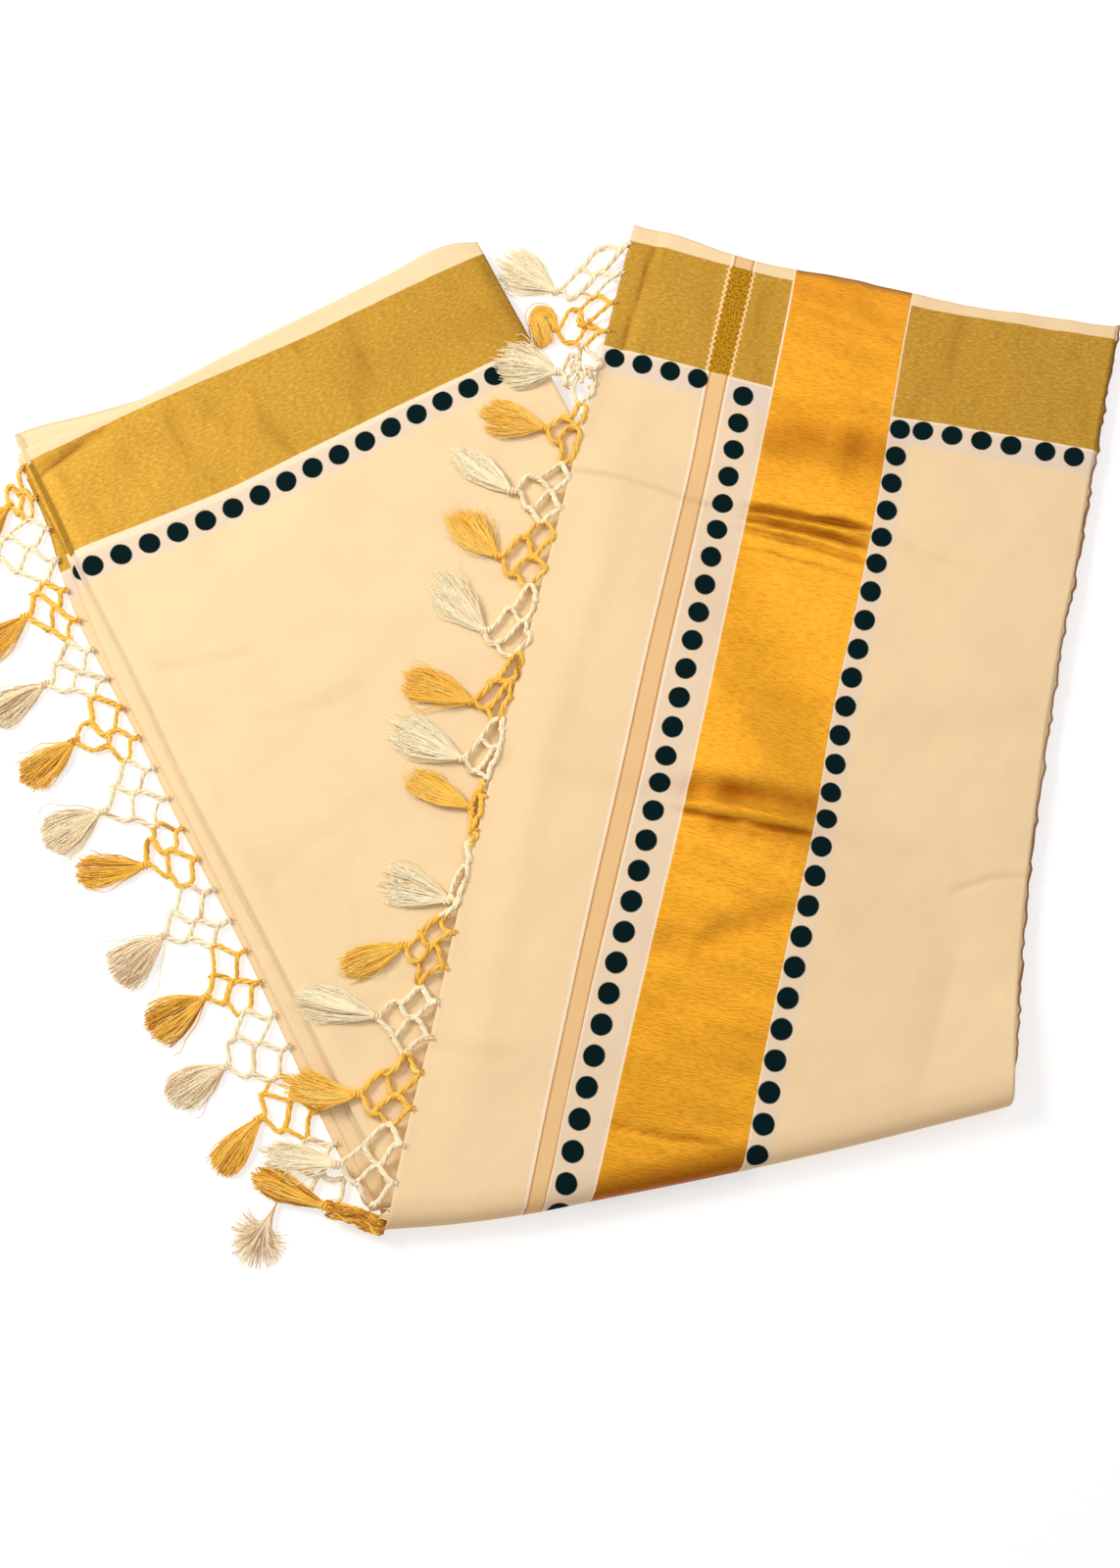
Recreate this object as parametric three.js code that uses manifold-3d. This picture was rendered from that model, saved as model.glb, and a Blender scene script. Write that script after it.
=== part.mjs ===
// A cotton saree with gold borders, dots and a knotted, tasselled end, folded for the shelf.
// The whole cloth is folded lengthwise into one strip, and the strip is folded over once, so that
// two legs meet in a V at the fold. It lies flat on its underside.
// Millimetres, +Z up. The origin is under the middle of the folded cloth, on the surface it rests on.
//
// Each leg is measured in its own directions: across, from its left edge to its right edge, and
// along, from the fold corner to its far end. The left leg lies below, the right leg on top of it.

import * as THREE from 'three';
import Module from 'manifold-3d';
import { ConvexGeometry } from 'three/addons/geometries/ConvexGeometry.js';
import { mergeVertices } from 'three/addons/utils/BufferGeometryUtils.js';

// Driving sizes
const FOLD_CORNER = { x: -88.7, y: -305.2 };
const LEFT_HEADING = 117.1;
const RIGHT_HEADING = 76.9;
const LEFT_LENGTH = 528;
const STRIP_WIDTH = 322;
const SHEET = 1.2;
const GAP = 0.3;
const STACK = 10.5;
const SECOND_SHEET_Z = SHEET + GAP;
const LEFT_CORE_Z = SECOND_SHEET_Z + SHEET + GAP;
const SKIN = SHEET + GAP;
const SETTLE = 0.3;
const CORE_SLOPE = 4.5;
const RIGHT_CORE_INSET = { left: 1.5, fold: 0.3 };
const LEFT_CORE_INSET = { right: -0.6, fold: 0.5, far: -0.7 };
const SECOND_SHEET_FAR = { left: 528, right: 528 };
const UNDER_SHEET_FAR = { left: 525, right: 526 };
const WELD = 1e-4;

// The bend where the strip turns over
const FOLD_RADIUS = STACK;
const NOSE_CLEARANCE = 0.9;
const CORE_NOSE = FOLD_RADIUS - SHEET - NOSE_CLEARANCE;
const FOLD_SLOPE = { across: 0.404, along: -0.915 };
const LEFT_FOLD_SLOPE = -0.293;
const BEND_STEPS = 7;

// How the right leg comes down beside the left one, and how its pallu edge droops
const RAMP_INSIDE = -20;
const RAMP_OUTSIDE = 60;
const FOLD_FADE = 90;
const DROOP = 5;
const DROOP_WIDTH = 16;
const LEFT_DROOP = 1.2;
const LEFT_DROOP_WIDTH = 9;

// Fringe sizes
const UNIT = 41.9;
const NET_DEPTH = 38;
const CORD = 2.6;
const KNOT_RADIUS = 2.7;
const CORNER_UNIT = 12;
const CORNER_HEADING = 161;
const CORNER_HEIGHT = 8;
const CORNER_CLEARANCE = 1.5;
const CORNER_SQUEEZE = 0.4;
const FIRST_ROW = 14;
const SECOND_ROW = 26;
const RIM_CLEARANCE = 0.7;
const SETTLED = 0.35;
const BLEND = { from: 0.2, to: 0.8 };
const HEAD_RADIUS = 3.1;
const HEAD = { back: 0.5, neck: 1.6, narrow: 0.75, root: 1.4, spread: 0.7, sides: 6 };
const LOCK_ROOT = 0.65;
const LOCK_TIP = 1.75;
const LOCK_SIDES = 3;
const LOCK_RISE = 4.2;
const TIP_CURVE = 0.06;
const LOWER_LOCKS = { locks: 4, rise: 0, spread: 1, length: 1 };
const UPPER_LOCKS = { locks: 3, rise: LOCK_RISE, spread: 0.55, length: 0.94 };

const CREAM = new THREE.Color(0.93, 0.80, 0.58);
const GOLD = new THREE.Color(0.86, 0.60, 0.16);
const TASSEL_CREAM = new THREE.Color(0.92, 0.84, 0.66);
const TASSEL_GOLD = new THREE.Color(0.85, 0.55, 0.12);

// Outline of the right leg: its side edges by the share of its length, its ends by the share of its width
const RIGHT_SIDES = [
  { share: 0, left: 0, right: 339 },
  { share: 0.06, left: -1.8, right: 335 },
  { share: 0.15, left: -5.4, right: 331.5 },
  { share: 0.27, left: -6.5, right: 327 },
  { share: 0.46, left: -5.5, right: 322.5 },
  { share: 0.57, left: -1.5, right: 321.5 },
  { share: 0.66, left: 0.5, right: 322.5 },
  { share: 0.8, left: -0.8, right: 321.5 },
  { share: 1, left: 0.5, right: 321.5 },
];
const RIGHT_ENDS = [
  { share: 0, fold: 0, far: 645.5 },
  { share: 0.11, fold: 11, far: 644.5 },
  { share: 0.21, fold: 23.5, far: 641.5 },
  { share: 0.34, fold: 43, far: 642.5 },
  { share: 0.46, fold: 61, far: 645 },
  { share: 0.58, fold: 79.5, far: 645 },
  { share: 0.72, fold: 102, far: 646 },
  { share: 0.88, fold: 129, far: 652 },
  { share: 0.96, fold: 142.5, far: 656.5 },
  { share: 1, fold: 149.5, far: 654.5 },
];
// Outline of the left leg's top panel; its fold end is a straight line
const LEFT_SIDES = [
  { share: 0, left: 11, right: 322 },
  { share: 0.2, left: 11, right: 322 },
  { share: 0.37, left: 9.5, right: 322 },
  { share: 0.54, left: 6.6, right: 322 },
  { share: 0.68, left: 7, right: 322 },
  { share: 0.83, left: 5.5, right: 322 },
  { share: 0.9, left: 6.4, right: 322 },
  { share: 1, left: 5.5, right: 321.5 },
];
const LEFT_ENDS = [
  { share: 0, far: 525.5 },
  { share: 0.12, far: 523.5 },
  { share: 0.3, far: 524 },
  { share: 0.5, far: 528 },
  { share: 0.65, far: 530 },
  { share: 0.8, far: 532 },
  { share: 0.96, far: 532.5 },
  { share: 1, far: 528 },
];
// The hidden layers' far end: a layer lies askew and shows past the top panel at its left corner
const LEFT_INNER_ENDS = [
  { share: 0, far: 534.5 },
  { share: 0.06, far: 532 },
  { share: 0.17, far: 526 },
  { share: 0.3, far: 522 },
  { share: 1, far: 524 },
];
// Left edges of the two lowest layers of the left leg, by the distance from the fold corner
const UNDER_EDGE = [
  { along: 0, across: -4 },
  { along: 30, across: -6.5 },
  { along: 110, across: -7 },
  { along: 183, across: -6 },
  { along: 264, across: -8.5 },
  { along: 326, across: -8.7 },
  { along: 370, across: -10.3 },
  { along: 420, across: -10.8 },
  { along: 442, across: -8.5 },
  { along: 475, across: -3.6 },
  { along: 528, across: -2 },
];
const SECOND_EDGE = [
  { along: 0, across: 0 },
  { along: 120, across: -1 },
  { along: 250, across: -2.6 },
  { along: 430, across: -2.5 },
  { along: 450, across: -0.4 },
  { along: 500, across: -1 },
  { along: 528, across: 0 },
];
// The layered edges of the hidden stack: how far each level is set back, by the share of its height
const LAYERED_EDGE = [
  { share: 0, inset: 2.2 },
  { share: 0.1, inset: 0.7 },
  { share: 0.24, inset: 0.7 },
  { share: 0.31, inset: 2.2 },
  { share: 0.42, inset: 1 },
  { share: 0.55, inset: 1 },
  { share: 0.62, inset: 2.6 },
  { share: 0.74, inset: 1.4 },
  { share: 0.88, inset: 1.4 },
  { share: 1, inset: 3 },
];
// One row for each fringe unit, from the left leg's far end round the fold to the right leg's.
// out: from the leg's straight edge line to the tassel's knot. drift: that knot's shift along the edge.
// lean: the tassel's turn towards the next unit, in degrees. tuck: the depth of net hidden under
// the edge. lie and tipLie: what the net and the tassel's tip lie on, above the surface.
const FRINGE = [
  { out: 19, drift: 8, lean: 24, length: 35, fan: 15, tuck: 0, lie: 0, tipLie: 0 },
  { out: 40, drift: -7, lean: 7, length: 36, fan: 17, tuck: 0, lie: 0, tipLie: 0 },
  { out: 37.5, drift: -5.5, lean: 21, length: 36, fan: 17, tuck: 0, lie: 0, tipLie: 0 },
  { out: 45.5, drift: -3, lean: 7, length: 38, fan: 17, tuck: 0, lie: 0, tipLie: 0 },
  { out: 43.5, drift: -4.5, lean: 16, length: 38, fan: 18, tuck: 0, lie: 0, tipLie: 0 },
  { out: 47, drift: 0.5, lean: 1, length: 37, fan: 21, tuck: 0, lie: 0, tipLie: 0 },
  { out: 37, drift: 0, lean: -16, length: 40, fan: 16, tuck: 0, lie: 0, tipLie: 0 },
  { out: 44.5, drift: 1.5, lean: 17, length: 37, fan: 22, tuck: 0, lie: 0, tipLie: 0 },
  { out: 37.5, drift: 4, lean: 4, length: 38, fan: 22, tuck: 0, lie: 0, tipLie: 0 },
  { out: 44, drift: 4, lean: -3, length: 37, fan: 19, tuck: 0, lie: 0, tipLie: 0 },
  { out: 39, drift: -1.5, lean: 23, length: 38, fan: 16, tuck: 0, lie: 0, tipLie: 0 },
  { out: 47.5, drift: 2, lean: 37, length: 36, fan: 24, tuck: 0, lie: 0, tipLie: 0 },
  { out: 38.5, drift: 0, lean: 5, length: 44, fan: 12, tuck: 0, lie: 5, tipLie: 5 },
  { out: 36, drift: -9, lean: 4, length: 40, fan: 13, tuck: 0, lie: 11, tipLie: 7 },
  { out: 35, drift: -9.5, lean: -20, length: 38, fan: 16, tuck: 0, lie: 11, tipLie: 8 },
  { out: 35.5, drift: -5.5, lean: -1, length: 42, fan: 17, tuck: 0, lie: 11, tipLie: 11 },
  { out: 29.5, drift: -3.5, lean: -35, length: 36, fan: 15, tuck: 0, lie: 11, tipLie: 11 },
  { out: 10, drift: -13, lean: 5, length: 37, fan: 20, tuck: 25, lie: 11, tipLie: 11 },
  { out: 12, drift: 2.5, lean: 11, length: 37, fan: 15, tuck: 22, lie: 11, tipLie: 11 },
  { out: 23, drift: -11.5, lean: 11, length: 42, fan: 20, tuck: 12, lie: 11, tipLie: 11 },
  { out: 26, drift: -18, lean: 13, length: 40, fan: 18, tuck: 10, lie: 11, tipLie: 11 },
  { out: 29, drift: -14.5, lean: 35, length: 42, fan: 18, tuck: 6, lie: 11, tipLie: 11 },
  { out: 32, drift: -7.5, lean: 22, length: 36, fan: 18, tuck: 3, lie: 11, tipLie: 11 },
  { out: 34, drift: -6.5, lean: 21, length: 41, fan: 14, tuck: 3, lie: 11, tipLie: 11 },
  { out: 23.5, drift: -2.5, lean: 1, length: 38, fan: 20, tuck: 8, lie: 11, tipLie: 11 },
  { out: 24, drift: -6, lean: 0, length: 35, fan: 24, tuck: 5, lie: 11, tipLie: 11 },
  { out: 33, drift: -14.5, lean: 30, length: 24, fan: 12, tuck: 0, lie: 0, tipLie: 0 },
  { out: 38.5, drift: -31, lean: 19, length: 36, fan: 22, tuck: 0, lie: 0, tipLie: 0 },
];

// Interpolation
const mix = (a, b, share) => a + (b - a) * share;

function ramp(value, from, to) {
  return THREE.MathUtils.smoothstep(value, from, to);
}

function lookUp(table, key, column, value) {
  const next = table.findIndex((row) => row[key] >= value);
  if (next === 0) return table[0][column];
  if (next < 0) return table[table.length - 1][column];
  const below = table[next - 1];
  const above = table[next];
  return mix(below[column], above[column], (value - below[key]) / (above[key] - below[key]));
}

// Directions of a leg, and a point of it in the part's frame
function legDirections(heading) {
  const turn = THREE.MathUtils.degToRad(heading);
  return {
    along: new THREE.Vector2(Math.cos(turn), Math.sin(turn)),
    across: new THREE.Vector2(Math.sin(turn), -Math.cos(turn)),
  };
}
const LEFT = legDirections(LEFT_HEADING);
const RIGHT = legDirections(RIGHT_HEADING);

function legPoint(leg, across, along, z) {
  return new THREE.Vector3(
    FOLD_CORNER.x + leg.across.x * across + leg.along.x * along,
    FOLD_CORNER.y + leg.across.y * across + leg.along.y * along,
    z,
  );
}

// Height of the right leg's top face: two stacks over the left leg and at the fold, one beside it
function rightTop(across, along, leftEdge, aboveFold) {
  const acrossLeft = across * RIGHT.across.dot(LEFT.across) + along * RIGHT.along.dot(LEFT.across);
  const besideLeft = acrossLeft - STRIP_WIDTH;
  const overLeft = 1 - ramp(besideLeft, RAMP_INSIDE, RAMP_OUTSIDE);
  const atFold = 1 - ramp(aboveFold, 0, FOLD_FADE);
  const droop = DROOP * (1 - ramp(across - leftEdge, 0, DROOP_WIDTH)) * ramp(aboveFold, 0, FOLD_FADE);
  return STACK * (1 + Math.max(overLeft, atFold)) - droop;
}

function leftTop(across, leftEdge) {
  return STACK - LEFT_DROOP * (1 - ramp(across - leftEdge, 0, LEFT_DROOP_WIDTH));
}

// A point of the right leg above its bend, from shares of its width and length
function rightPoint(u, v, depth) {
  const left = lookUp(RIGHT_SIDES, 'share', 'left', v);
  const across = mix(left, lookUp(RIGHT_SIDES, 'share', 'right', v), u);
  const foldLine = lookUp(RIGHT_ENDS, 'share', 'fold', u);
  const straight = foldLine + FOLD_RADIUS / -FOLD_SLOPE.along;
  const along = mix(straight, lookUp(RIGHT_ENDS, 'share', 'far', u), v);
  const aboveFold = (along - straight) * -FOLD_SLOPE.along;
  return legPoint(RIGHT, across, along, rightTop(across, along, left, aboveFold) - depth);
}

function leftPoint(u, v, depth, ends) {
  const left = lookUp(LEFT_SIDES, 'share', 'left', v);
  const across = mix(left, lookUp(LEFT_SIDES, 'share', 'right', v), u);
  const along = mix(leftFoldLine(across), lookUp(ends, 'share', 'far', u), v);
  return legPoint(LEFT, across, along, leftTop(across, left) - depth);
}

// Where the left leg's layers stop, on the flat side of the bend
function leftFoldLine(across) {
  return LEFT_FOLD_SLOPE * across + FOLD_RADIUS / Math.cos(Math.atan(LEFT_FOLD_SLOPE)) + GAP;
}

// Closed bodies from rows of points
function bodyFrom(points, faces) {
  const geometry = new THREE.BufferGeometry();
  const numbers = points.flatMap((point) => [point.x, point.y, point.z]);
  geometry.setAttribute('position', new THREE.Float32BufferAttribute(numbers, 3));
  geometry.setIndex(faces.flat());
  return geometry;
}

function gridFaces(rows, columns, start, flipped) {
  const faces = [];
  for (let row = 0; row < rows - 1; row += 1) {
    for (let column = 0; column < columns - 1; column += 1) {
      const a = start + row * columns + column;
      const b = a + 1;
      const c = b + columns;
      const d = a + columns;
      faces.push(flipped ? [a, c, b] : [a, b, c]);
      faces.push(flipped ? [a, d, c] : [a, c, d]);
    }
  }
  return faces;
}

// The border of a grid of points, counter-clockwise from above
function gridBorder(rows, columns) {
  const border = [];
  for (let column = 0; column < columns - 1; column += 1) border.push(column);
  for (let row = 0; row < rows - 1; row += 1) border.push(row * columns + columns - 1);
  for (let column = columns - 1; column > 0; column -= 1) border.push((rows - 1) * columns + column);
  for (let row = rows - 1; row > 0; row -= 1) border.push(row * columns);
  return border;
}

function wallFaces(lower, upper) {
  const faces = [];
  for (let k = 0; k < lower.length; k += 1) {
    const next = (k + 1) % lower.length;
    faces.push([lower[k], lower[next], upper[next]]);
    faces.push([lower[k], upper[next], upper[k]]);
  }
  return faces;
}

// A sheet of cloth between an upper and a lower grid of points
function sheetBody(upper, lower) {
  const rows = upper.length;
  const columns = upper[0].length;
  const start = rows * columns;
  const border = gridBorder(rows, columns);
  return bodyFrom([...upper.flat(), ...lower.flat()], [
    ...gridFaces(rows, columns, 0, false),
    ...gridFaces(rows, columns, start, true),
    ...wallFaces(border.map((k) => k + start), border),
  ]);
}

// A stack of layers: a flat underside, side walls through a ring at each level, and a shaped top
function stackBody(topGrid, rings) {
  const rows = topGrid.length;
  const columns = topGrid[0].length;
  const points = topGrid.flat();
  const levels = rings.map((ring) => {
    const first = points.length;
    points.push(...ring);
    return ring.map((point, k) => first + k);
  });
  levels.push(gridBorder(rows, columns));
  const underside = THREE.ShapeUtils.triangulateShape(rings[0].map((p) => new THREE.Vector2(p.x, p.y)), []);
  const faces = gridFaces(rows, columns, 0, false);
  faces.push(...underside.map(([a, b, c]) => [levels[0][a], levels[0][c], levels[0][b]]));
  for (let k = 0; k < levels.length - 1; k += 1) faces.push(...wallFaces(levels[k], levels[k + 1]));
  return bodyFrom(points, faces);
}

// Shares of a leg's width and length at which its grid has points
const GRID_ACROSS = [0, 0.02, 0.055, 0.14, 0.26, 0.4, 0.54, 0.7, 0.86, 0.96, 1];
const GRID_ALONG = [0, 0.04, 0.08, 0.14, 0.21, 0.29, 0.37, 0.46, 0.55, 0.64, 0.72, 0.8, 0.9, 1];
const LEFT_GRID_ACROSS = [0, 0.015, 0.03, 0.2, 0.4, 0.6, 0.8, 1];
const LEFT_GRID_ALONG = [0, 0.2, 0.4, 0.55, 0.7, 0.83, 0.9, 1];

function gridOf(alongShares, acrossShares, pointAt) {
  return alongShares.map((v) => acrossShares.map((u) => pointAt(u, v)));
}

function rightGrid(depth) {
  return gridOf(GRID_ALONG, GRID_ACROSS, (u, v) => rightPoint(u, v, depth));
}

function leftGrid(depth, ends) {
  return gridOf(LEFT_GRID_ALONG, LEFT_GRID_ACROSS, (u, v) => leftPoint(u, v, depth, ends));
}

// The pallu stretch on top of the right leg. Its rows run round the bend first, from its flat lower
// end, then up the leg.
function palluTopGrid(depth) {
  const outward = new THREE.Vector3(
    RIGHT.across.x * FOLD_SLOPE.across + RIGHT.along.x * FOLD_SLOPE.along,
    RIGHT.across.y * FOLD_SLOPE.across + RIGHT.along.y * FOLD_SLOPE.along,
    0,
  );
  const radius = FOLD_RADIUS - depth;
  const leg = rightGrid(depth);
  const bend = [];
  for (let step = 0; step < BEND_STEPS; step += 1) {
    const turn = Math.PI * step / BEND_STEPS;
    bend.push(leg[0].map((flat) => {
      const point = flat.clone().addScaledVector(outward, radius * Math.sin(turn));
      point.z = FOLD_RADIUS - radius * Math.cos(turn);
      return point;
    }));
  }
  return [...bend, ...leg];
}

function palluTopBody() {
  return sheetBody(palluTopGrid(0), palluTopGrid(SHEET));
}

// Moves the border of a grid inwards, by its own distance on each side
function shrinkGrid(grid, inset) {
  const towards = (point, inner, distance) => point.clone().lerp(inner, distance / point.distanceTo(inner));
  const narrowed = grid.map((row) => {
    const last = row.length - 1;
    const copy = row.map((point) => point.clone());
    copy[0] = towards(row[0], row[1], inset.left);
    copy[last] = towards(row[last], row[last - 1], inset.right);
    return copy;
  });
  const end = narrowed.length - 1;
  const foldRow = narrowed[0].map((point, k) => towards(point, narrowed[1][k], inset.fold));
  const farRow = narrowed[end].map((point, k) => towards(point, narrowed[end - 1][k], inset.far));
  return [foldRow, ...narrowed.slice(1, end), farRow];
}

// The layers of a stack: the top grid and the rings below it, each level set back by its own distance
function layeredBody(grid, floor, insetAt) {
  const rings = LAYERED_EDGE.slice(0, -1).map((level) => {
    const flat = shrinkGrid(grid, insetAt(level)).flat();
    return gridBorder(grid.length, grid[0].length).map((k) => {
      flat[k].z = mix(floor, flat[k].z, level.share);
      return flat[k];
    });
  });
  return stackBody(shrinkGrid(grid, insetAt(LAYERED_EDGE[LAYERED_EDGE.length - 1])), rings);
}

// The hidden layers of the right leg, which fill the bend and reach the floor beside the left leg
function rightCoreBody() {
  return layeredBody(rightGrid(SKIN + SETTLE), 0, ({ share, inset }) => {
    const drop = Math.abs(share * (2 * STACK - SKIN) - FOLD_RADIUS);
    const nose = Math.sqrt(Math.max(0, CORE_NOSE ** 2 - drop ** 2));
    return {
      left: inset + RIGHT_CORE_INSET.left,
      right: inset,
      fold: RIGHT_CORE_INSET.fold + nose / FOLD_SLOPE.along,
      far: inset,
    };
  });
}

// The space that the left leg takes, with the gap that touching layers keep
function leftLegSpace() {
  const right = STRIP_WIDTH + GAP;
  const corners = UNDER_EDGE.map((row) => (
    [row.across - GAP, Math.max(row.along, leftFoldLine(row.across) - GAP)]
  ));
  corners.push([right, LEFT_LENGTH + FOLD_RADIUS], [right, leftFoldLine(STRIP_WIDTH) - GAP]);
  return extrudeOutline(corners, -GAP, STACK + GAP);
}

function extrudeOutline(corners, low, high) {
  const outline = corners.map(([across, along]) => {
    const point = legPoint(LEFT, across, along, 0);
    return new THREE.Vector2(point.x, point.y);
  });
  const shape = new THREE.Shape(outline);
  const geometry = new THREE.ExtrudeGeometry(shape, { depth: high - low, bevelEnabled: false });
  geometry.translate(0, 0, low);
  return geometry;
}

// A flat layer under the left leg, with the given left edge and far end
function underLayerBody(edge, low, far) {
  const corners = edge.map((row) => [row.across, Math.max(row.along, leftFoldLine(row.across))]);
  corners[corners.length - 1][1] = far.left;
  corners.push([STRIP_WIDTH / 2, far.right], [STRIP_WIDTH, far.right]);
  corners.push([STRIP_WIDTH, leftFoldLine(STRIP_WIDTH)]);
  return extrudeOutline(corners, low, low + SHEET);
}

// The hidden layers of the left leg: its far edge shows past the top panel, its left edge slopes out
function leftCoreBody() {
  const inner = leftGrid(SKIN + SETTLE, LEFT_INNER_ENDS);
  return layeredBody(inner, LEFT_CORE_Z, ({ share, inset }) => ({
    left: inset - CORE_SLOPE * (1 - share),
    right: inset + LEFT_CORE_INSET.right,
    fold: LEFT_CORE_INSET.fold,
    far: inset + LEFT_CORE_INSET.far,
  }));
}

function leftTopBody() {
  return sheetBody(leftGrid(0, LEFT_ENDS), leftGrid(SHEET, LEFT_ENDS));
}

// Joining and cutting solids
const wasm = await Module();
wasm.setup();

function toSolid(geometry) {
  const bare = geometry.clone();
  bare.deleteAttribute('normal');
  bare.deleteAttribute('uv');
  const merged = mergeVertices(bare, WELD);
  return new wasm.Manifold(new wasm.Mesh({
    numProp: 3,
    vertProperties: new Float32Array(merged.attributes.position.array),
    triVerts: new Uint32Array(merged.index.array),
  }));
}

function fromSolid(solid) {
  const mesh = solid.getMesh();
  const geometry = new THREE.BufferGeometry();
  geometry.setAttribute('position', new THREE.BufferAttribute(new Float32Array(mesh.vertProperties), 3));
  geometry.setIndex(new THREE.BufferAttribute(new Uint32Array(mesh.triVerts), 1));
  return geometry;
}

function join(geometries) {
  return fromSolid(geometries.map(toSolid).reduce((whole, piece) => whole.add(piece)));
}

function cut(geometry, tool) {
  return fromSolid(toSolid(geometry).subtract(toSolid(tool)));
}

// The cloth edge that carries the fringe: a point just clear of it, by the distance from the left
// leg's far end, at the height of the net's underside there
function rim(distance) {
  if (distance < LEFT_LENGTH) {
    const along = LEFT_LENGTH - distance;
    const across = lookUp(UNDER_EDGE, 'along', 'across', along) - RIM_CLEARANCE;
    return { point: legPoint(LEFT, across, along, GAP), leg: LEFT, way: -1, outward: -across };
  }
  const along = distance - LEFT_LENGTH;
  const edge = lookUp(RIGHT_SIDES, 'share', 'left', along / RIGHT_ENDS[0].far);
  const across = edge - RIM_CLEARANCE;
  const height = rightTop(edge, along, edge, along - FOLD_RADIUS) - (SHEET + CORD) / 2;
  return { point: legPoint(RIGHT, across, along, height), leg: RIGHT, way: 1, outward: -across };
}

// A point under one fringe unit's net: side is the share of its width from its middle, depth is
// the distance into the net from the cloth's edge
function unitPoint(unit, side, depth) {
  const row = FRINGE[unit];
  const reach = Math.max(0, (depth - row.tuck) / (NET_DEPTH - row.tuck));
  const { middle, outward, onward } = unitFrame(unit);
  const root = unit === CORNER_UNIT
    ? middle.point.clone().addScaledVector(onward, side * UNIT * CORNER_SQUEEZE)
    : rim((unit + 0.5 + side) * UNIT).point;
  const point = root.clone().addScaledVector(outward, reach * (row.out - middle.outward));
  point.addScaledVector(onward, reach * row.drift);
  point.z = mix(root.z, row.lie + GAP, ramp(reach, 0, SETTLED));
  return point;
}

// The middle of a unit's edge, the direction away from the cloth and that towards the next unit.
// The unit at the fold corner is bunched, and points away from the tip of the fold.
function unitFrame(unit) {
  if (unit === CORNER_UNIT) {
    const turn = THREE.MathUtils.degToRad(CORNER_HEADING);
    const outward = new THREE.Vector3(Math.cos(turn), Math.sin(turn), 0);
    const onward = new THREE.Vector3(outward.y, -outward.x, 0);
    const point = legPoint(RIGHT, 0, 0, CORNER_HEIGHT).addScaledVector(outward, CORNER_CLEARANCE);
    return { middle: { point, outward: CORNER_CLEARANCE }, outward, onward };
  }
  const middle = rim((unit + 0.5) * UNIT);
  const { across, along } = middle.leg;
  return {
    middle,
    outward: new THREE.Vector3(-across.x, -across.y, 0),
    onward: new THREE.Vector3(along.x, along.y, 0).multiplyScalar(middle.way),
  };
}

// The same, blended into the next unit towards their common knot. The bunched unit at the corner
// lies over the one before it, so those two are not blended.
function netPoint(unit, side, depth) {
  const point = unitPoint(unit, side, depth);
  const beside = unit + Math.sign(side);
  if (!FRINGE[beside] || unit + beside === 2 * CORNER_UNIT - 1) return point;
  const share = ramp(Math.abs(side), BLEND.from, BLEND.to);
  return point.lerp(unitPoint(beside, side - Math.sign(side), depth), share);
}

// A straight bar with a section of few sides, narrowing or widening from one end to the other
function bar(from, to, fromRadius, toRadius, sides) {
  const direction = to.clone().sub(from).normalize();
  const level = new THREE.Vector3(-direction.y, direction.x, 0).normalize();
  const upright = direction.clone().cross(level);
  const points = [];
  for (let side = 0; side < sides; side += 1) {
    const turn = 2 * Math.PI * side / sides + Math.PI / 2;
    const offset = level.clone().multiplyScalar(Math.cos(turn)).addScaledVector(upright, Math.sin(turn));
    points.push(from.clone().addScaledVector(offset, fromRadius));
    points.push(to.clone().addScaledVector(offset, toRadius));
  }
  return new ConvexGeometry(points);
}

// The outline of a net of cords: each side of each cord is followed to the next cord round its
// knot. The cords are narrow in their middle and widen to their knots. The first loop found is
// the outside, and the others are the gaps that the cords close.
function netLoops(places, cords) {
  const neighbours = (name) => cords.filter((cord) => cord.includes(name))
    .map(([first, second]) => (first === name ? second : first));
  const headingOf = (from, to) => places[to].clone().sub(places[from]).angle();
  const nextRound = (name, from) => {
    const back = headingOf(name, from);
    const turnTo = (other) => (headingOf(name, other) - back + 4 * Math.PI) % (2 * Math.PI);
    const others = neighbours(name).filter((other) => other !== from);
    return others.sort((first, second) => turnTo(first) - turnTo(second))[0] ?? from;
  };
  const pending = cords.flatMap(([first, second]) => [[first, second], [second, first]]);
  const loops = [];
  while (pending.length > 0) {
    const loop = [];
    let [from, to] = pending[0];
    while (true) {
      const index = pending.findIndex((side) => side[0] === from && side[1] === to);
      if (index < 0) break;
      pending.splice(index, 1);
      const cord = places[to].clone().sub(places[from]);
      const aside = new THREE.Vector2(cord.y, -cord.x).setLength(CORD / 2);
      loop.push(places[from].clone().lerp(places[to], 0.5).add(aside));
      const next = nextRound(to, from);
      if (next === from) {
        loop.push(places[to].clone().add(aside), places[to].clone().sub(aside));
      } else {
        const back = headingOf(to, from);
        const gapTurn = (headingOf(to, next) - back + 4 * Math.PI) % (2 * Math.PI);
        const middle = back + gapTurn / 2;
        const corner = new THREE.Vector2(Math.cos(middle), Math.sin(middle));
        loop.push(corner.multiplyScalar(KNOT_RADIUS).add(places[to]));
      }
      [from, to] = [to, next];
    }
    loops.push(loop);
  }
  return loops.sort((first, second) => second.length - first.length);
}

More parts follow.
